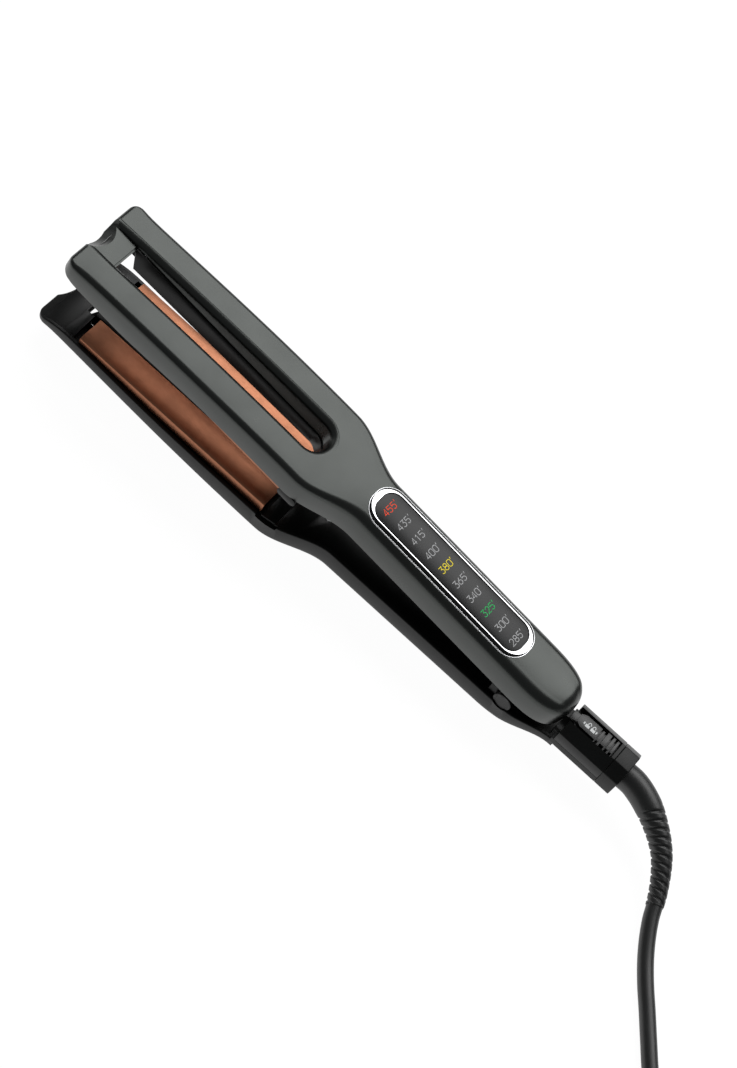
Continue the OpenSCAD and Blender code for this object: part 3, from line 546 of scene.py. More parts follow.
def section(x, lower, inset=0):
    """Points across an arm: rounded rim, sides with draft, round shoulders, domed crown."""
    w = half_width(x, lower) - inset
    top = crown(x, lower) - inset
    low = rim(x, lower)
    rise = top - low
    if not lower:
        low = max(low - skirt(x), skirt_gap)
    shoulder = mix(jaw_shoulder_r, shoulder_r, ease((x - neck_x0) / neck_l))
    r = max(least_r, min(shoulder - inset * 0.5, rise * 0.45, w * 0.5))
    flat = w - (rise - r) * tan(radians(draft)) - r
    dome = 0 if lower else doming(rise)
    if inset:
        cover_back = rim(x, True) + cover_inset + cover_t + seat_gap
        side = [(w, -2), (w, min(cover_back, top - dome - r - least_r))]
    else:
        lip = min(lower_lip if lower else upper_lip, rise * 0.2)
        side = arc(w - lip, low + lip, lip, lip, -90, 0, 3)
    side += arc(flat, top - dome - r, r, r, 0, 90, 10)
    side += [(flat * t, top - dome * t ** 2) for t in spread(1, 0, crown_steps + 1)[1:-1]]
    return [(x, y, h) for y, h in side] + [(x, 0, top)] + [(x, -y, h) for y, h in reversed(side)]


def arm_stations(lower):
    """Places along an arm, closer together where its outline turns."""
    tip = [tip_r - x for x in crowded(0, tip_r, 16)][::-1]
    x_end = tail_x0 + 1 if lower else arm_x1 - 0.1
    rear = spread(hinge_x - 8, x_end, 18) if lower else crowded(hinge_x - 4, x_end, 26)
    middle = spread(tip_r, neck_x0, 52)[1:] + spread(neck_x0, neck_x1, 26)[1:]
    middle += spread(neck_x1, hinge_x - 10, 34)[1:]
    return tip + middle + rear


def handle_hollow(lower):
    x_end = tail_x0 - 2.5 if lower else arm_x1 - wall - 0.4
    xs = spread(frame_x1, neck_x1, 14) + spread(neck_x1, hinge_x - 8, 6)[1:]
    xs += crowded(hinge_x - 4, x_end, 14)
    return skin([section(x, lower, wall) for x in xs])


def plan_inside(xs, lower):
    """Outline of the inside of the housing's walls, seen from above."""
    right = [(x, half_width(x, lower) - wall) for x in xs]
    return right + [(x, -y) for x, y in reversed(right)]


front_x0 = 3.5  # front of the plate frames
pocket_stations = spread(front_x0 - seat_gap, tip_r, 6) + spread(tip_r, frame_x1 + 1, 40)[1:]
slot_centre = slot_x1 - slot_hw  # of the slot's round rear end
flare_step = 0.4  # ledge between the slot's wall and its flared mouth
flare_depth = 0.3  # how far the flare starts below the crown


def slot_cutter():
    """Slot right through a jaw, whose wall rounds over into the crown."""
    low_hw = slot_hw + 0.5
    round_r = slot_crown_hw - low_hw - flare_step
    xs = spread(bar_x1, slot_centre, 40)

    def ring(level):
        """Outline at an angle round the mouth's curve; below 0 is the foot of the slot."""
        hw = low_hw if level < 0 else low_hw + flare_step + round_r * (1 - cos(radians(level)))
        plan = [(x, hw) for x in xs] + arc(slot_centre, 0, hw, hw, 85, -85, 34) + [(x, -hw) for x in reversed(xs)]
        lift = -flare_depth - round_r + round_r * sin(radians(level))
        return [(x, y, frame_h - 1 if level < 0 else crown(x, True) + lift) for x, y in plan]

    rings = [ring(level) for level in [-1] + list(range(0, 91, 10))]
    rings.append([(x, y, z + 4) for x, y, z in rings[-1]])
    return skin(rings)


def groove_cutter():
    """Groove in front of the slot, across the bar at the tip, with the same flared mouth."""
    low_hw = slot_hw + frame_wall
    round_r = slot_crown_hw - low_hw
    half = [(low_hw, -1)] + [(low_hw + round_r * (1 - cos(radians(a))), a) for a in range(0, 91, 10)]

    def height(x, a):
        """Depth at an angle round the mouth's curve; below 0 is the groove's floor."""
        edge = crown(max(x, tip_fall), True) - flare_depth
        return bar_h if a < 0 else mix(max(bar_h + 0.2, edge - round_r), edge, sin(radians(a)))

    def ring(x):
        right = [(x, y, height(x, a)) for y, a in half]
        top = [(x, slot_crown_hw, crown_h + 3), (x, -slot_crown_hw, crown_h + 3)]
        return right + top + [(x, -y, height(x, a)) for y, a in reversed(half)]

    return skin([ring(x) for x in [-3] + spread(1, 20, 14)])


bite_x, bite_h, bite_r = -5.5, bar_h + 5.5, 12
across = 30  # half width of tools that pass right through an arm


def tip_bite():
    """Sloping cylinder that leaves the round bite in a jaw's tip."""
    reach = 25
    return rod((bite_x - reach, 0, bite_h - reach), (bite_x + reach, 0, bite_h + reach), bite_r, 160)


lug_x0, lug_x1 = neck_x0 - 2.5, frame_x1 + 1.6  # notch in the lower rim, and the tab above it
notch_h = jaw_rim + 2
notch_outline = [(lug_x0 - 1, 0), (lug_x0, notch_h), (lug_x1, notch_h), (lug_x1 + 1, 0)]
bay_inset = 1.7  # how much narrower than a plate the pocket behind it is


def shell(lower):
    """Housing of one arm, in the arm's own depths."""
    body = skin([section(x, lower) for x in arm_stations(lower)])
    deep_x0 = bar_x1 + 1
    deep_stations = [deep_x0 - seat_gap] + [x for x in pocket_stations if x > deep_x0]
    tools = [
        handle_hollow(lower),
        prism(plan_inside(pocket_stations, lower), -1, front_h + seat_gap),
        prism(plan_inside(deep_stations, lower), -1, frame_h + seat_gap),
        slot_cutter(), groove_cutter(), tip_bite(),
    ]
    x0, x1 = plate_x0 - 1, plate_x1 - 0.4
    for y0, y1 in ((-plate_out, -plate_in - bay_inset), (plate_in + bay_inset, plate_out)):
        tools.append(box_solid((x0, y0, frame_h - 1), (x1, y1, pocket_h)))
    return cut(body, *tools)


# ---- tail ----

def tail_outline(z0, z1, r=0.5):
    """Points around the part of the eight-sided tail between two heights, with eased corners."""
    c = tail_chamfer
    corners = [(-tail_hw, -tail_hh + c), (-tail_hw + c, -tail_hh), (tail_hw - c, -tail_hh), (tail_hw, -tail_hh + c)]
    corners += [(y, -z) for y, z in reversed(corners)]
    out = []
    for i, p in enumerate(corners):
        before, after = Vector(corners[i - 1]), Vector(corners[(i + 1) % 8])
        p = Vector(p)
        a, b = p + (before - p).normalized() * r, p + (after - p).normalized() * r
        out += [a.lerp(p, t).lerp(p.lerp(b, t), t) for t in (0, 0.33, 0.67, 1)]
    kept = []  # what lies between the two heights, cut at them
    for i, p in enumerate(out):
        q = out[(i + 1) % len(out)]
        if z0 <= p.y <= z1:
            kept.append(p)
        for z in (z0, z1):
            if (p.y - z) * (q.y - z) < 0:
                kept.append(p.lerp(q, (z - p.y) / (q.y - p.y)))
    return [(p.x, p.y + hinge_z) for p in kept]


# ---- shells ----

lower_shell = at_lower(shell(True))
tail_half = in_row(prism_x(tail_outline(-tail_hh, tail_seam_z - hinge_z), tail_x0 - 1, ring_x0 - seat_gap))
lower_shell = cut(
    joined(lower_shell, tail_half),
    in_row(rod((tail_x0 - 4, 0, hinge_z), (ring_x0 + 1, 0, hinge_z), wire_r)),
    in_row(rod((hinge_x, -across, hinge_z), (hinge_x, across, hinge_z), knuckle_r + 0.15)),
    at_lower(prism_y(notch_outline, -across, across)),
)
# the lower shell takes the painted-shade copy of the shell plastic
finished(smooth(lower_shell), "lower_shell", "lower_arm", shaded_under_plastic, ["lower_housing"])

seat_bar = (bezel_x0 - seat_gap, bezel_x1 + seat_gap, bezel_hw + seat_gap, bezel_hw - 1)
window_bar = (bezel_x0 + bezel_end, bezel_x1 - bezel_end, bezel_hw - bezel_side, bezel_hw - 2.3)
upper_shell = cut(
    shell(False),
    prism(rounded_bar(*seat_bar), bezel_h0 - seat_gap, bezel_h0 + 5),
    prism(rounded_bar(*window_bar), bezel_h0 - 4, bezel_h0 + 2),
    # the way of the lock slider through the rear wall
    box_solid((arm_x1 - 5, -recess_hw, 0), (arm_x1 + 5, recess_hw, hinge_z + 12 - crown_h)),
)
finished(smooth(at_upper(upper_shell)), "upper_shell", "upper_arm", shell_plastic, ["upper_housing"])


tab_inset, tab_t, tab_hh, tab_h = 0.35, 1.1, 2.2, jaw_rim - 1.9


def neck_tabs():
    """Two small long tabs below the rim of the upper jaw, behind its plates."""
    tabs = []
    for side in (-1, 1):
        outer = side * (jaw_hw - tab_inset)
        outline = rounded_bar(lug_x0 + 0.4, lug_x1, tab_hh, tab_hh - 0.1, 6)
        tabs.append(prism_y([(x, tab_h + z) for x, z in outline], outer, outer - side * tab_t))
    return joined(*tabs)


def rounded_edges(bm, width):
    """Rounds the sharp edges of a mesh in mm."""
    bmesh.ops.dissolve_limit(bm, angle_limit=radians(1), verts=bm.verts, edges=bm.edges)
    edges = [e for e in bm.edges if len(e.link_faces) == 2 and e.calc_face_angle(0) > radians(30)]
    bmesh.ops.bevel(bm, geom=edges, offset=width, segments=2, profile=0.5, affect="EDGES", clamp_overlap=True)


def rounded_over(obj, width):
    """Rounds the sharp edges of a solid in mm."""
    bm = bmesh.new()
    bm.from_mesh(obj.data)
    bmesh.ops.remove_doubles(bm, verts=bm.verts, dist=0.001)
    rounded_edges(bm, width)
    bm.to_mesh(obj.data)
    bm.free()
    return obj


# ---- CAD nodes whose shape is right: same solids with eased edges ----

def eased(node, body, material, width=0.2, reshape=None):
    """A copy of a CAD node whose sharp edges are rounded over a little."""
    bm = bmesh.new()
    bm.from_mesh(nodes[node].data)
    bmesh.ops.transform(bm, matrix=Matrix.Scale(1 / MM, 4), verts=bm.verts)
    bmesh.ops.remove_doubles(bm, verts=bm.verts, dist=0.001)
    if reshape:
        reshape(bm)
    rounded_edges(bm, width)
    bmesh.ops.transform(bm, matrix=Matrix.Scale(MM, 4), verts=bm.verts)
    name = node + "_eased"
    return finished(smooth(new_object(name, mesh_from(bm, name))), name, body, material, [node])


lining_gap = 0.4  # from the lining's edge to the meeting plane
lining_hw = 3.8  # half width of the slot at that edge, at its front


def extend_lining(place):
    """Brings the slot's lining out to just short of the meeting plane, with walls that lean in."""
    back = place.inverted()

    def reshape(bm):
        for v in bm.verts:
            depth = back @ v.co
            if abs(depth.z - lining_h) < 0.01:
                x = min(depth.x, slot_centre)
                out = Vector((depth.x - x, depth.y))
                if out.length < slot_hw + 0.3:
                    out *= mix(lining_hw / slot_hw, 1, (x - bar_x1) / (slot_centre - bar_x1))
                v.co = place @ Vector((x + out.x, out.y, lining_gap))
    return reshape


# ---- plates, with the cushions behind them ----

leg_t = 1.4
face_edge = 0.3  # chamfer of a plate's face along the slot
fall_w, fall = 5.6, 1.5  # the outer part of a plate's face, which falls away to its edge
cushion_h0, cushion_h1, travel = 4.67, 9.33, 1
cushion_r, cushion_waist, cushion_rim = 4, 0.35, 0.4
cushion_shares = (0.15, 0.5, 0.85)  # their places along a plate
both_sides = ((-1, "near"), (1, "far"))
upper_out = (sin(radians(open_angle)), 0, cos(radians(open_angle)))
arms = (("lower", at_lower, lower_place, (0, 0, 1)), ("upper", at_upper, upper_place, upper_out))


def plate(side):
    """Plate whose face is flat inside and falls away in a long curve to its outer edge."""
    half = [(plate_in, leg_h), (plate_in, face_gap + face_edge), (plate_in + face_edge, face_gap)]
    half += [(plate_out - fall_w * (1 - sin(a)), face_gap + fall * (1 - cos(a)))
             for a in spread(0, pi / 2, 15)]
    half += [(plate_out, leg_h), (plate_out - leg_t, leg_h), (plate_out - leg_t, plate_t),
             (plate_in + leg_t, plate_t), (plate_in + leg_t, leg_h)]
    return rounded_over(prism_x([(side * y, h) for y, h in half], plate_x0, plate_x1), 0.12)


def cushions(side):
    """Three silicone pads behind a plate, drawn in at their middle and with soft rims."""
    y = side * (plate_in + plate_out) / 2
    pads = []
    for share in cushion_shares:
        x = mix(plate_x0, plate_x1, share)
        rings = []
        for t in spread(0, 1, 13):
            near_end = max(1 - min(t, 1 - t) * 8, 0)
            r = cushion_r - cushion_waist * sin(pi * t) - cushion_rim * near_end ** 2
            rings.append([(x + u, y + v, mix(cushion_h0, cushion_h1, t)) for u, v in circle(r, 40)])
        pads.append(skin(rings))
    return joined(*pads)


for side, name in both_sides:
    for arm, at, _, _ in arms:
        finished(smooth(at(plate(side))), f"{arm}_{name}_plate_crowned", f"{arm}_{name}_plates", copper_coat,
                 [f"{arm}_{name}_plate"])
for side, name in both_sides:
    for arm, at, place, axis in arms:
        pads = finished(smooth(at(cushions(side))), f"{arm}_{name}_cushion_pads", f"{arm}_arm", silicone,
                        [f"{arm}_{name}_cushions"])
        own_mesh(pads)


# ---- opening spring: its coil and lower leg, and the leg on the upper arm ----

spring_r = pin_d / 2 + 0.6 + spring_wire / 2
spring_pitch = spring_wire + 0.4
spring_leg = 15
spring_y = spring_turns * spring_pitch / 2
turn_steps = 32
leg_rise, leg_curve = 3.9, 1.1  # of the upper leg


def on_coil(step, y):
    """Point of the coil, counted in steps from its lowest one."""
    a = 2 * pi * step / turn_steps
    return (hinge_x + spring_r * sin(a), y, hinge_z - spring_r * cos(a))


def spring_piece(points, name, body, replaces=()):
    wire = smooth(in_row(tube(points, spring_wire / 2, (0, 1, 0))))
    finished(wire, name, body, wire_steel, replaces)


lower_leg = [(hinge_x - run, -spring_y, hinge_z - spring_r + rise)
             for run, rise in ((spring_leg, 0.4), (spring_leg / 2, 0.1))]
coil = [on_coil(i, -spring_y + spring_pitch * i / turn_steps) for i in range(turn_steps * spring_turns + 1)]
last_bend = [on_coil(i, spring_y) for i in range(2, turn_steps // 2 + 1, 2)]
upper_leg = [(hinge_x - run, spring_y, hinge_z + spring_r + leg_rise * (run / spring_leg) ** leg_curve)
             for run in (0, 3, 7.5, 11, spring_leg)]
spring_piece(lower_leg + coil + last_bend, "spring_coil", "lower_arm", ["opening_spring"])
spring_piece(upper_leg, "spring_upper_leg", "upper_arm")


# ---- the rest of the iron's own pieces ----

finished(smooth(at_upper(rounded_over(neck_tabs(), 0.3))), "neck_tabs", "upper_arm", tail_plastic)
eased("tail_shell", "lower_arm", tail_plastic, 0.35)
eased("tail_end_ring", "lower_arm", tail_plastic, 0.4)
for arm, _, place, _ in arms:
    eased(f"{arm}_plate_frame", f"{arm}_arm", insert_plastic, reshape=extend_lining(place))
for arm, _, _, _ in arms:
    eased(f"{arm}_handle_cover", f"{arm}_arm", insert_plastic)

kept_nodes = {
    turned_steel: ("hinge_pin", "lower_screws", "upper_screws"),
    insert_plastic: ("hinge_caps", "swivel_bush"),
    ceramic: ("lower_near_heater", "lower_far_heater", "upper_near_heater", "upper_far_heater"),
    board_green: ("display_board", "power_board"),
    strap_weave: ("cord_tie",),
    cord_rubber: ("plug_body",),
    blade_brass: ("plug_blades",),
}
for material, names in kept_nodes.items():
    for node in names:
        nodes[node].data.materials.clear()
        nodes[node].data.materials.append(material)


# ---- display ----

digit_w, digit_h, stroke, digit_pitch = 2.0, 3.0, 0.32, 2.6
r = 0.75  # corners of the nought
# The strokes of each figure, from its lower left corner
figures = {
    "0": [arc(r, r, r, r, 270, 180) + arc(r, digit_h - r, r, r, 180, 90)
          + arc(digit_w - r, digit_h - r, r, r, 90, 0) + arc(digit_w - r, r, r, r, 0, -90) + [(r, 0)]],
    "1": [[(0.45, digit_h - 0.55), (1.15, digit_h), (1.15, 0)]],
    "2": [arc(digit_w / 2, digit_h - 0.95, 0.95, 0.95, 170, -35) + [(0, 0), (digit_w, 0)]],
    "3": [[(0.1, digit_h), (1.85, digit_h), (0.9, 1.85)] + arc(1.0, 0.92, 0.98, 0.93, 80, -150)],
    "4": [[(1.5, 0), (1.5, digit_h), (0, 0.85), (digit_w, 0.85)]],
    "5": [[(1.85, digit_h), (0.2, digit_h), (0.12, 1.75)] + arc(1.0, 0.95, 0.98, 0.95, 115, -150)],
    "6": [[(1.5, digit_h), (0.25, 1.55)] + arc(1.0, 0.95, 0.97, 0.95, 160, -200, 16)],
    "8": [arc(1.0, 2.28, 0.82, 0.72, -90, 270, 16), arc(1.0, 0.8, 0.98, 0.8, 90, 450, 16)],
    "°": [[(0.3, digit_h + 0.4), (0.05, digit_h - 0.5)]],
}


ink_t, ink_lift = 0.02, 0.03


def ribbon(bm, line, width, place):
    """Flat stroke along a line of points, with square ends."""
    pts = [Vector(p) for p in line]
    closed = (pts[0] - pts[-1]).length < 1e-4
    if closed:
        pts = pts[:-1]
    rows = []
    for i, p in enumerate(pts):
        before = pts[i - 1] if closed or i else None
        after = pts[(i + 1) % len(pts)] if closed or i < len(pts) - 1 else None
        d0 = (p - before).normalized() if before is not None else (after - p).normalized()
        d1 = (after - p).normalized() if after is not None else d0
        mid = (d0 + d1).normalized()
        aside = Vector((-mid.y, mid.x)) * width / 2 / max(mid.dot(d0), 0.5)
        rows.append([bm.verts.new(place(*(p + aside), ink_lift)), bm.verts.new(place(*(p - aside), ink_lift))])
    pairs = list(zip(rows, rows[1:])) + ([(rows[-1], rows[0])] if closed else [])
    for a, b in pairs:
        bm.faces.new((a[0], a[1], b[1], b[0]))


def print_strokes(lines, width, place, name, body, material, at):
    """Printed strokes as one thin piece; place puts a point of theirs on its surface."""
    bm = bmesh.new()
    for line in lines:
        ribbon(bm, line, width, place)
    bmesh.ops.solidify(bm, geom=bm.faces[:], thickness=ink_t)
    bmesh.ops.recalc_face_normals(bm, faces=bm.faces)
    return finished(at(new_object(name, mesh_from(bm, name))), name, body, material)


def upper_crown_at(x, y):
    """Depth of the upper handle's crown at a point, as section() draws it."""
    w, top, low = half_width(x, False), crown(x, False), rim(x, False)
    rise = top - low
    flat = w - (rise - shoulder_r) * tan(radians(draft)) - shoulder_r
    dome = doming(rise)
    if abs(y) <= flat:
        return top - dome * (y / flat) ** 2
    return top - dome - corner(shoulder_r - (abs(y) - flat), shoulder_r)


def bar(inset, hw, r):
    """Outline round the display: its inset from the bezel's ends, half width and corners."""
    return rounded_bar(bezel_x0 + inset, bezel_x1 - inset, hw, r, 24)


def loop_solid(profile):
    """Solid all round the display: profile gives the outline and the depth of each point of its section."""
    rings = []
    for i in range(len(profile[0][0])):
        points = [(*outline[i], depth) for outline, depth in profile]
        rings.append([(x, y, depth(x, y) if callable(depth) else depth) for x, y, depth in points])
    return skin(rings, closed=True)


def above_crown(lift):
    """Depth at a distance above the handle's crown."""
    return lambda x, y: upper_crown_at(x, y) + lift


def display_piece(obj, material, name, replaces=(), angle=32):
    finished(smooth(at_upper(obj), angle), name, "upper_arm", material, replaces)


ring_top = bezel_h1
floor_h = bezel_h0 + 0.05
window_top = ring_top - 0.12
bead_r, bead_lift = 0.24, 0.02
# Each profile goes once round its section, from the outer edge of the floor
display_piece(loop_solid([
    (bar(0.05, 10.15, 9.15), floor_h), (bar(0.05, 10.15, 9.15), above_crown(-0.05)),
    (bar(0.12, 10.0, 9.0), above_crown(0.05)),
    (bar(0.5, 8.5, 8.4), ring_top - 0.12), (bar(0.6, 8.4, 8.3), floor_h),
]), surround_black, "display_surround")
display_piece(loop_solid([
    (bar(0.45, 8.5, 8.4), floor_h + 0.1), (bar(0.45, 8.5, 8.4), ring_top - 0.08), (bar(0.53, 8.42, 8.32), ring_top),
    (bar(3.0, 8.1, 6.4), ring_top), (bar(3.1, 8.0, 6.3), ring_top - 0.12), (bar(3.1, 8.0, 6.3), floor_h + 0.1),
]), chrome, "display_ring", ["display_bezel"])
display_piece(loop_solid([
    (bar(0.1 + u, 10.1 - u, 9.1 - u), above_crown(bead_lift + v)) for u, v in circle(bead_r, 8)
]), chrome, "display_trim", angle=60)
display_piece(prism(bar(3.05, 8.05, 6.35), floor_h, ring_top - 0.75), surround_black, "display_well")
display_piece(skin([
    [(x, y, h) for x, y in bar(3.45 + e, 7.65 - e, 5.95 - e)]
    for e, h in ((0, ring_top - 0.8), (0, window_top - 0.15), (0.05, window_top - 0.04), (0.15, window_top))
]), screen_black, "display_glass", ["display_window"])

row_x0, row_pitch = bezel_x0 + 8.8, 8.2
row_texts = ["455", "435", "415", "400", "380", "365", "340", "325", "300", "285"]
row_inks = {"455": ink_red, "380": ink_yellow, "325": ink_green}
text_w = 3 * digit_pitch + 0.5
for row, text in enumerate(row_texts):
    lines = []
    for i, letter in enumerate(text + "°"):
        lines += [[(px + i * digit_pitch, py) for px, py in line] for line in figures[letter]]

    def on_window(px, py, lift, x=row_x0 + row_pitch * row):
        return (x + digit_h / 2 - py, px - text_w / 2, window_top + lift)

    print_strokes(lines, stroke, on_window, f"figures_{text}", "upper_arm",
                  row_inks.get(text, ink_grey), at_upper)


# ---- lock slider, with its pad and ribs, and the padlocks printed on it ----

slider_z = hinge_z + tail_hh - 3.2 + moving_gap / 2  # its underside, in the recess
pad_top = hinge_z + tail_hh - 0.5
base_hw = recess_hw - 0.25
pad_plan = [(4.2, -3.3), (12.3, -3.3), (12.3, 3.3), (4.2, 3.3)]
# Outline from the tail's front, and the lower and upper face above the underside
slider_layers = (
    ([(-1.2, -1.8), (1.5, -2.2), (3.6, -base_hw), (22, -base_hw), (22, base_hw), (3.6, base_hw), (1.5, 2.6),
      (-1.2, 2.6)], 0, 0.5),
    ([(-1.2, -1.8), (1.6, -1.9)] + pad_plan + [(1.6, 2.1), (-1.2, 2.1)], 0.4, 1.4),
    ([(1.9, -2)] + pad_plan + [(1.9, 2.1)], 1.3, pad_top - slider_z),
)
# Middle from the tail's front, width, half length and height above the pad
slider_ribs = ((13.5, 1.1, 2.9, 0), (16.2, 2.1, 3.4, 0.8), (18.7, 1.2, 3.4, 0.8), (20.8, 1.1, 3.4, 0.8))
solids = [prism([(tail_x0 + x, y) for x, y in plan], slider_z + z0, slider_z + z1)
          for plan, z0, z1 in slider_layers]
for x, rib_w, hw, rise in slider_ribs:
    solids.append(box_solid((tail_x0 + x - rib_w / 2, -hw, slider_z + 0.4),
                            (tail_x0 + x + rib_w / 2, hw, pad_top + rise)))
finished(smooth(in_row(rounded_over(joined(*solids), 0.15))), "lock_slider_top", "lock", slider_plastic,
         ["lock_slider"])


def on_pad(px, py, lift):
    return (tail_x0 + px, py, pad_top + lift)


lock_hw, shackle_rx, shackle_ry = 1.05, 0.65, 1.05
lock_lines = []
for x, opened in ((6.7, True), (9.6, False)):
    lock_lines += [[(x - lock_hw, y), (x + lock_hw, y)] for y in (-1.3, -0.95, -0.6, -0.25)]
    shackle = x + (0.5 if opened else 0)
    lock_lines.append(arc(shackle, 0.35, shackle_rx, shackle_ry, 0, 180))
    lock_lines.append([(shackle - shackle_rx, 0.4), (shackle - shackle_rx, -0.1)])
for x, way in ((5.0, -1), (11.3, 1)):
    lock_lines.append([(x, -1.1), (x, 0.3)])
    lock_lines.append([(x + 0.3 * way, -0.75), (x + 0.3 * way, -0.05)])
print_strokes(lock_lines, 0.38, on_pad, "padlocks", "lock", ink_white, in_row)


# ---- cord: a route in mm in the row's frame, with the points and sizes of part.scad ----

relief_start = (overall_l / 2 + 0.3, 0, hinge_z)
relief_points = [
    (160, 0, 17), (164, -0.8, 16.9), (168, -2, 16.6), (173, -4, 16), (178, -6.6, 15),
    (183, -9.7, 13.9), (188, -13.8, 12.6), (192, -18.4, 11), (195.4, -23.4, 9.5),
    (198, -28, 8.3), (199.6, -31.6, 7.5),
]
lead_points = [
    (202, -37, 6.3), (206, -44, 5), (211, -51.5, 4), (217, -59.5, 3.6), (224, -68, 3.5),
    (232, -78, 3.5), (241, -89, 3.5), (251, -99, 3.6), (262, -109, 4), (272, -117, 4.3),
]
coil_centre = (320, -88)
coil_start = 225  # degrees, from the centre to where the lead joins the coil
coil_turns = 3.1875  # in each of the coil's two layers
tie_t = 0.8
cord_r = cord_d / 2
coil_pitch = cord_d + 0.5
coil_z0 = cord_r + tie_t + 0.1
coil_z1 = coil_z0 + cord_d + 0.6
coil_out = coil_d / 2 + coil_turns * coil_pitch / 2
plug_z = 9.5
tail_run = 22  # cord between the coil and the plug
coil_steps = 48  # points in a turn
coil_total = round(2 * coil_turns * coil_steps)


def spline(pts, steps):
    """Smooth curve through the points."""
    pts = [Vector(p) for p in pts]
    out = []
    for i in range(len(pts) - 1):
        a, b, c, d = pts[max(i - 1, 0)], pts[i], pts[i + 1], pts[min(i + 2, len(pts) - 1)]
        for k in range(steps):
            t = k / steps
            out.append(0.5 * (2 * b + (c - a) * t + (2 * a - 5 * b + 4 * c - d) * t * t
                              + (3 * b - a - 3 * c + d) * t ** 3))
    return out + [pts[-1]]


def coil_heading(a):
    return Vector((-sin(radians(a)), cos(radians(a)), 0))


def coil_point(i):
    """Point of the coil, which winds inward in its lower layer and out again in its upper one."""
    a = radians(coil_start + 360 * i / coil_steps)
    layer = ease((i / coil_total - 0.5) * coil_turns * 2 + 0.5)
    r = coil_out - coil_pitch * (coil_turns - abs(coil_turns - i / coil_steps))
    return Vector((coil_centre[0] + r * cos(a), coil_centre[1] + r * sin(a), mix(coil_z0, coil_z1, layer)))


coil_join = coil_point(0)
coil_end = coil_point(coil_total)
leaving = coil_heading(coil_start + 720 * coil_turns)
coil_run = [
    coil_end + leaving * tail_run * t + Vector((0, 0, plug_z - coil_z1)) * ease((t - 0.3) / 0.7)
    for t in (0.35, 0.7, 1)
]
into_coil = [coil_join - coil_heading(coil_start) * cord_d, coil_join]
relief_line = spline([relief_start] + relief_points, 20)
route = spline([relief_start] + relief_points + lead_points + into_coil, 6)
route += [coil_point(i) for i in range(1, coil_total + 1)] + coil_run

line = bpy.data.curves.new("cord", "CURVE")
line.dimensions = "3D"
line.bevel_depth = cord_r * MM
line.bevel_resolution = 6
line.use_fill_caps = True
thread = line.splines.new("POLY")
thread.points.add(len(route) - 1)
for point, at in zip(thread.points, route):
    point.co = (*(at * MM), 1)
cord = new_object("cord", line)
finished(cord, "cord", "cord", cord_rubber, ["cord_lead", "cord_coil"])


# ---- strain relief, with its spiral ribs ----

# Distance from its start, and its radius there
relief_base = [(0, 6.1), (8, 6.15), (16, 6.0), (24, 5.4), (36, 4.6), (48, 4.1), (60, 3.8)]
rib_start, rib_fade, groove_depth = 17, 2, 0.7
rib_pitch, rib_starts = 3.7, 3  # three ribs wind side by side
groove_from, groove_slope = 0.35, 0.6  # where in the wave a groove starts, and how it deepens


def lookup(table, v):
    """Value at v in a table of (v, value), straight between its rows."""
    for (a, fa), (b, fb) in zip(table, table[1:]):
        if v <= b:
            return mix(fa, fb, max(v - a, 0) / (b - a))
    return table[-1][1]


def relief_ring(pt, u, v, run, sides=72):
    """Points round the strain relief at a distance from its start."""
    depth = groove_depth * ease((run - rib_start) / rib_fade)
    out = []
    for k in range(sides):
        a = 2 * pi * k / sides
        wave = cos(rib_starts * a + 2 * pi * run / rib_pitch)
        radius = lookup(relief_base, run) - depth * ease((wave - groove_from) / groove_slope)
        out.append(pt + (u * cos(a) + v * sin(a)) * radius)
    return out


runs = [0]
for a, b in zip(relief_line, relief_line[1:]):
    runs.append(runs[-1] + (b - a).length)
directions = carried_sides(relief_line, (0, 1, 0))
relief = skin([relief_ring(p, u, v, run) for p, (u, v), run in zip(relief_line, directions, runs)])
relief.data.transform(Matrix.Scale(MM, 4))
finished(smooth(relief, 60), "strain_relief_sleeve", "cord", cord_rubber, ["strain_relief"])


# ---- floor and lights ----

floor_reach = 40  # metres
floor_drop = 0.0002  # metres
shadowless = 0.88  # share of the floor's look that takes no shadow
full_white = 1.1
world_light = 0.14


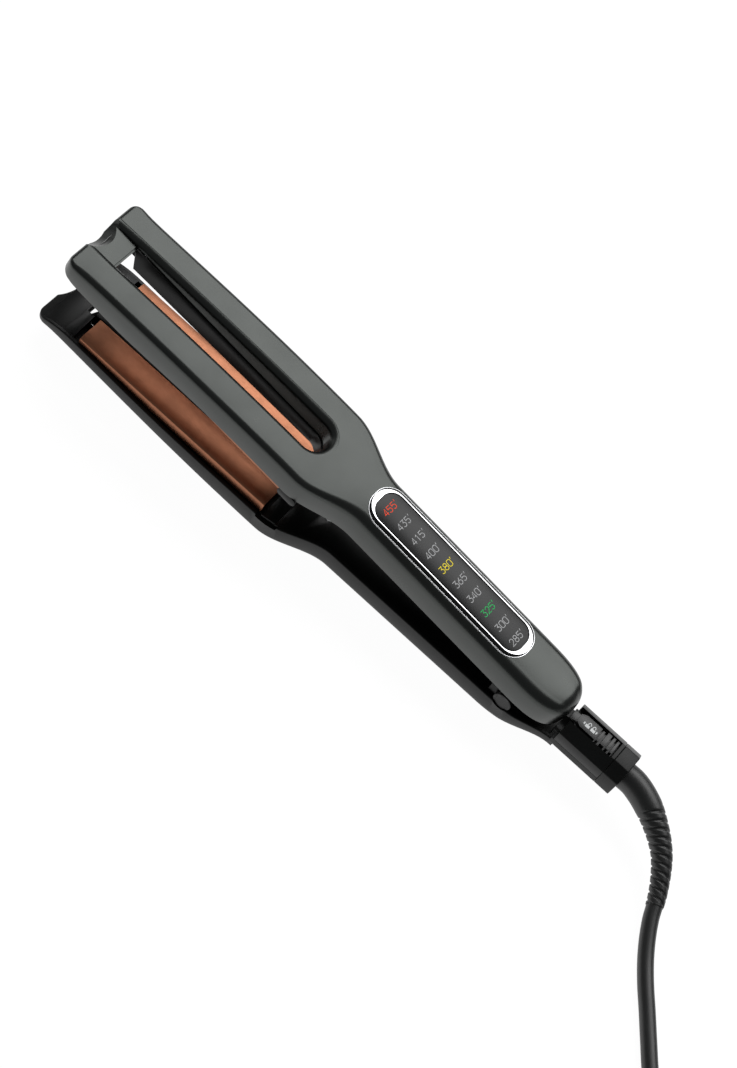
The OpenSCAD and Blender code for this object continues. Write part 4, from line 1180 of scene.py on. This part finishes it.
def floor():
    """White floor: shown at full white with a faint shadow, and lighting the object as plain paper does."""
    bm = bmesh.new()
    bmesh.ops.create_grid(bm, x_segments=1, y_segments=1, size=floor_reach)
    m, tree, principled, where = shader("floor_white", (0.9, 0.9, 0.9), roughness=0.9, specular=0.1)
    vary_colour(tree, principled, noise(tree, where, 300), (0.89, 0.89, 0.89), (0.91, 0.91, 0.91))
    glow = tree.nodes.new("ShaderNodeEmission")
    glow.inputs["Strength"].default_value = full_white
    rays = tree.nodes.new("ShaderNodeLightPath")
    seen = rays.outputs["Is Camera Ray"]
    for name in ("Is Glossy Ray", "Is Transmission Ray"):
        either = tree.nodes.new("ShaderNodeMath")
        either.operation = "MAXIMUM"
        tree.links.new(seen, either.inputs[0])
        tree.links.new(rays.outputs[name], either.inputs[1])
        seen = either.outputs[0]
    share = tree.nodes.new("ShaderNodeMath")
    share.operation = "MULTIPLY"
    share.inputs[1].default_value = shadowless
    tree.links.new(seen, share.inputs[0])
    both = tree.nodes.new("ShaderNodeMixShader")
    tree.links.new(share.outputs[0], both.inputs["Fac"])
    tree.links.new(principled.outputs[0], both.inputs[1])
    tree.links.new(glow.outputs[0], both.inputs[2])
    tree.links.new(both.outputs[0], tree.nodes["Material Output"].inputs["Surface"])
    ground = new_object("floor", mesh_from(bm, "floor"))
    ground.location = (0, 0, -floor_drop)
    ground.data.materials.append(m)


def softbox(name, place, size, radiance):
    """Area light of a given radiance, aimed at the iron's middle; its place and size are in metres."""
    lamp = bpy.data.lights.new(name, "AREA")
    lamp.shape = "RECTANGLE"
    lamp.size, lamp.size_y = size
    lamp.energy = radiance * pi * size[0] * size[1]
    obj = bpy.data.objects.new(name, lamp)
    scene.collection.objects.link(obj)
    obj.location = place
    obj.rotation_euler = (-Vector(place)).to_track_quat("-Z", "Y").to_euler()


floor()
world = bpy.data.worlds.new("room")
world.use_nodes = True
background = world.node_tree.nodes["Background"]
background.inputs["Color"].default_value = (0.96, 0.98, 1, 1)
background.inputs["Strength"].default_value = world_light
scene.world = world
softbox("key_far", (0, 1.22, 1.62), (2.6, 1.3), 3.0)
softbox("key_left", (-1.9, 0.2, 0.9), (0.7, 1.2), 0.5)
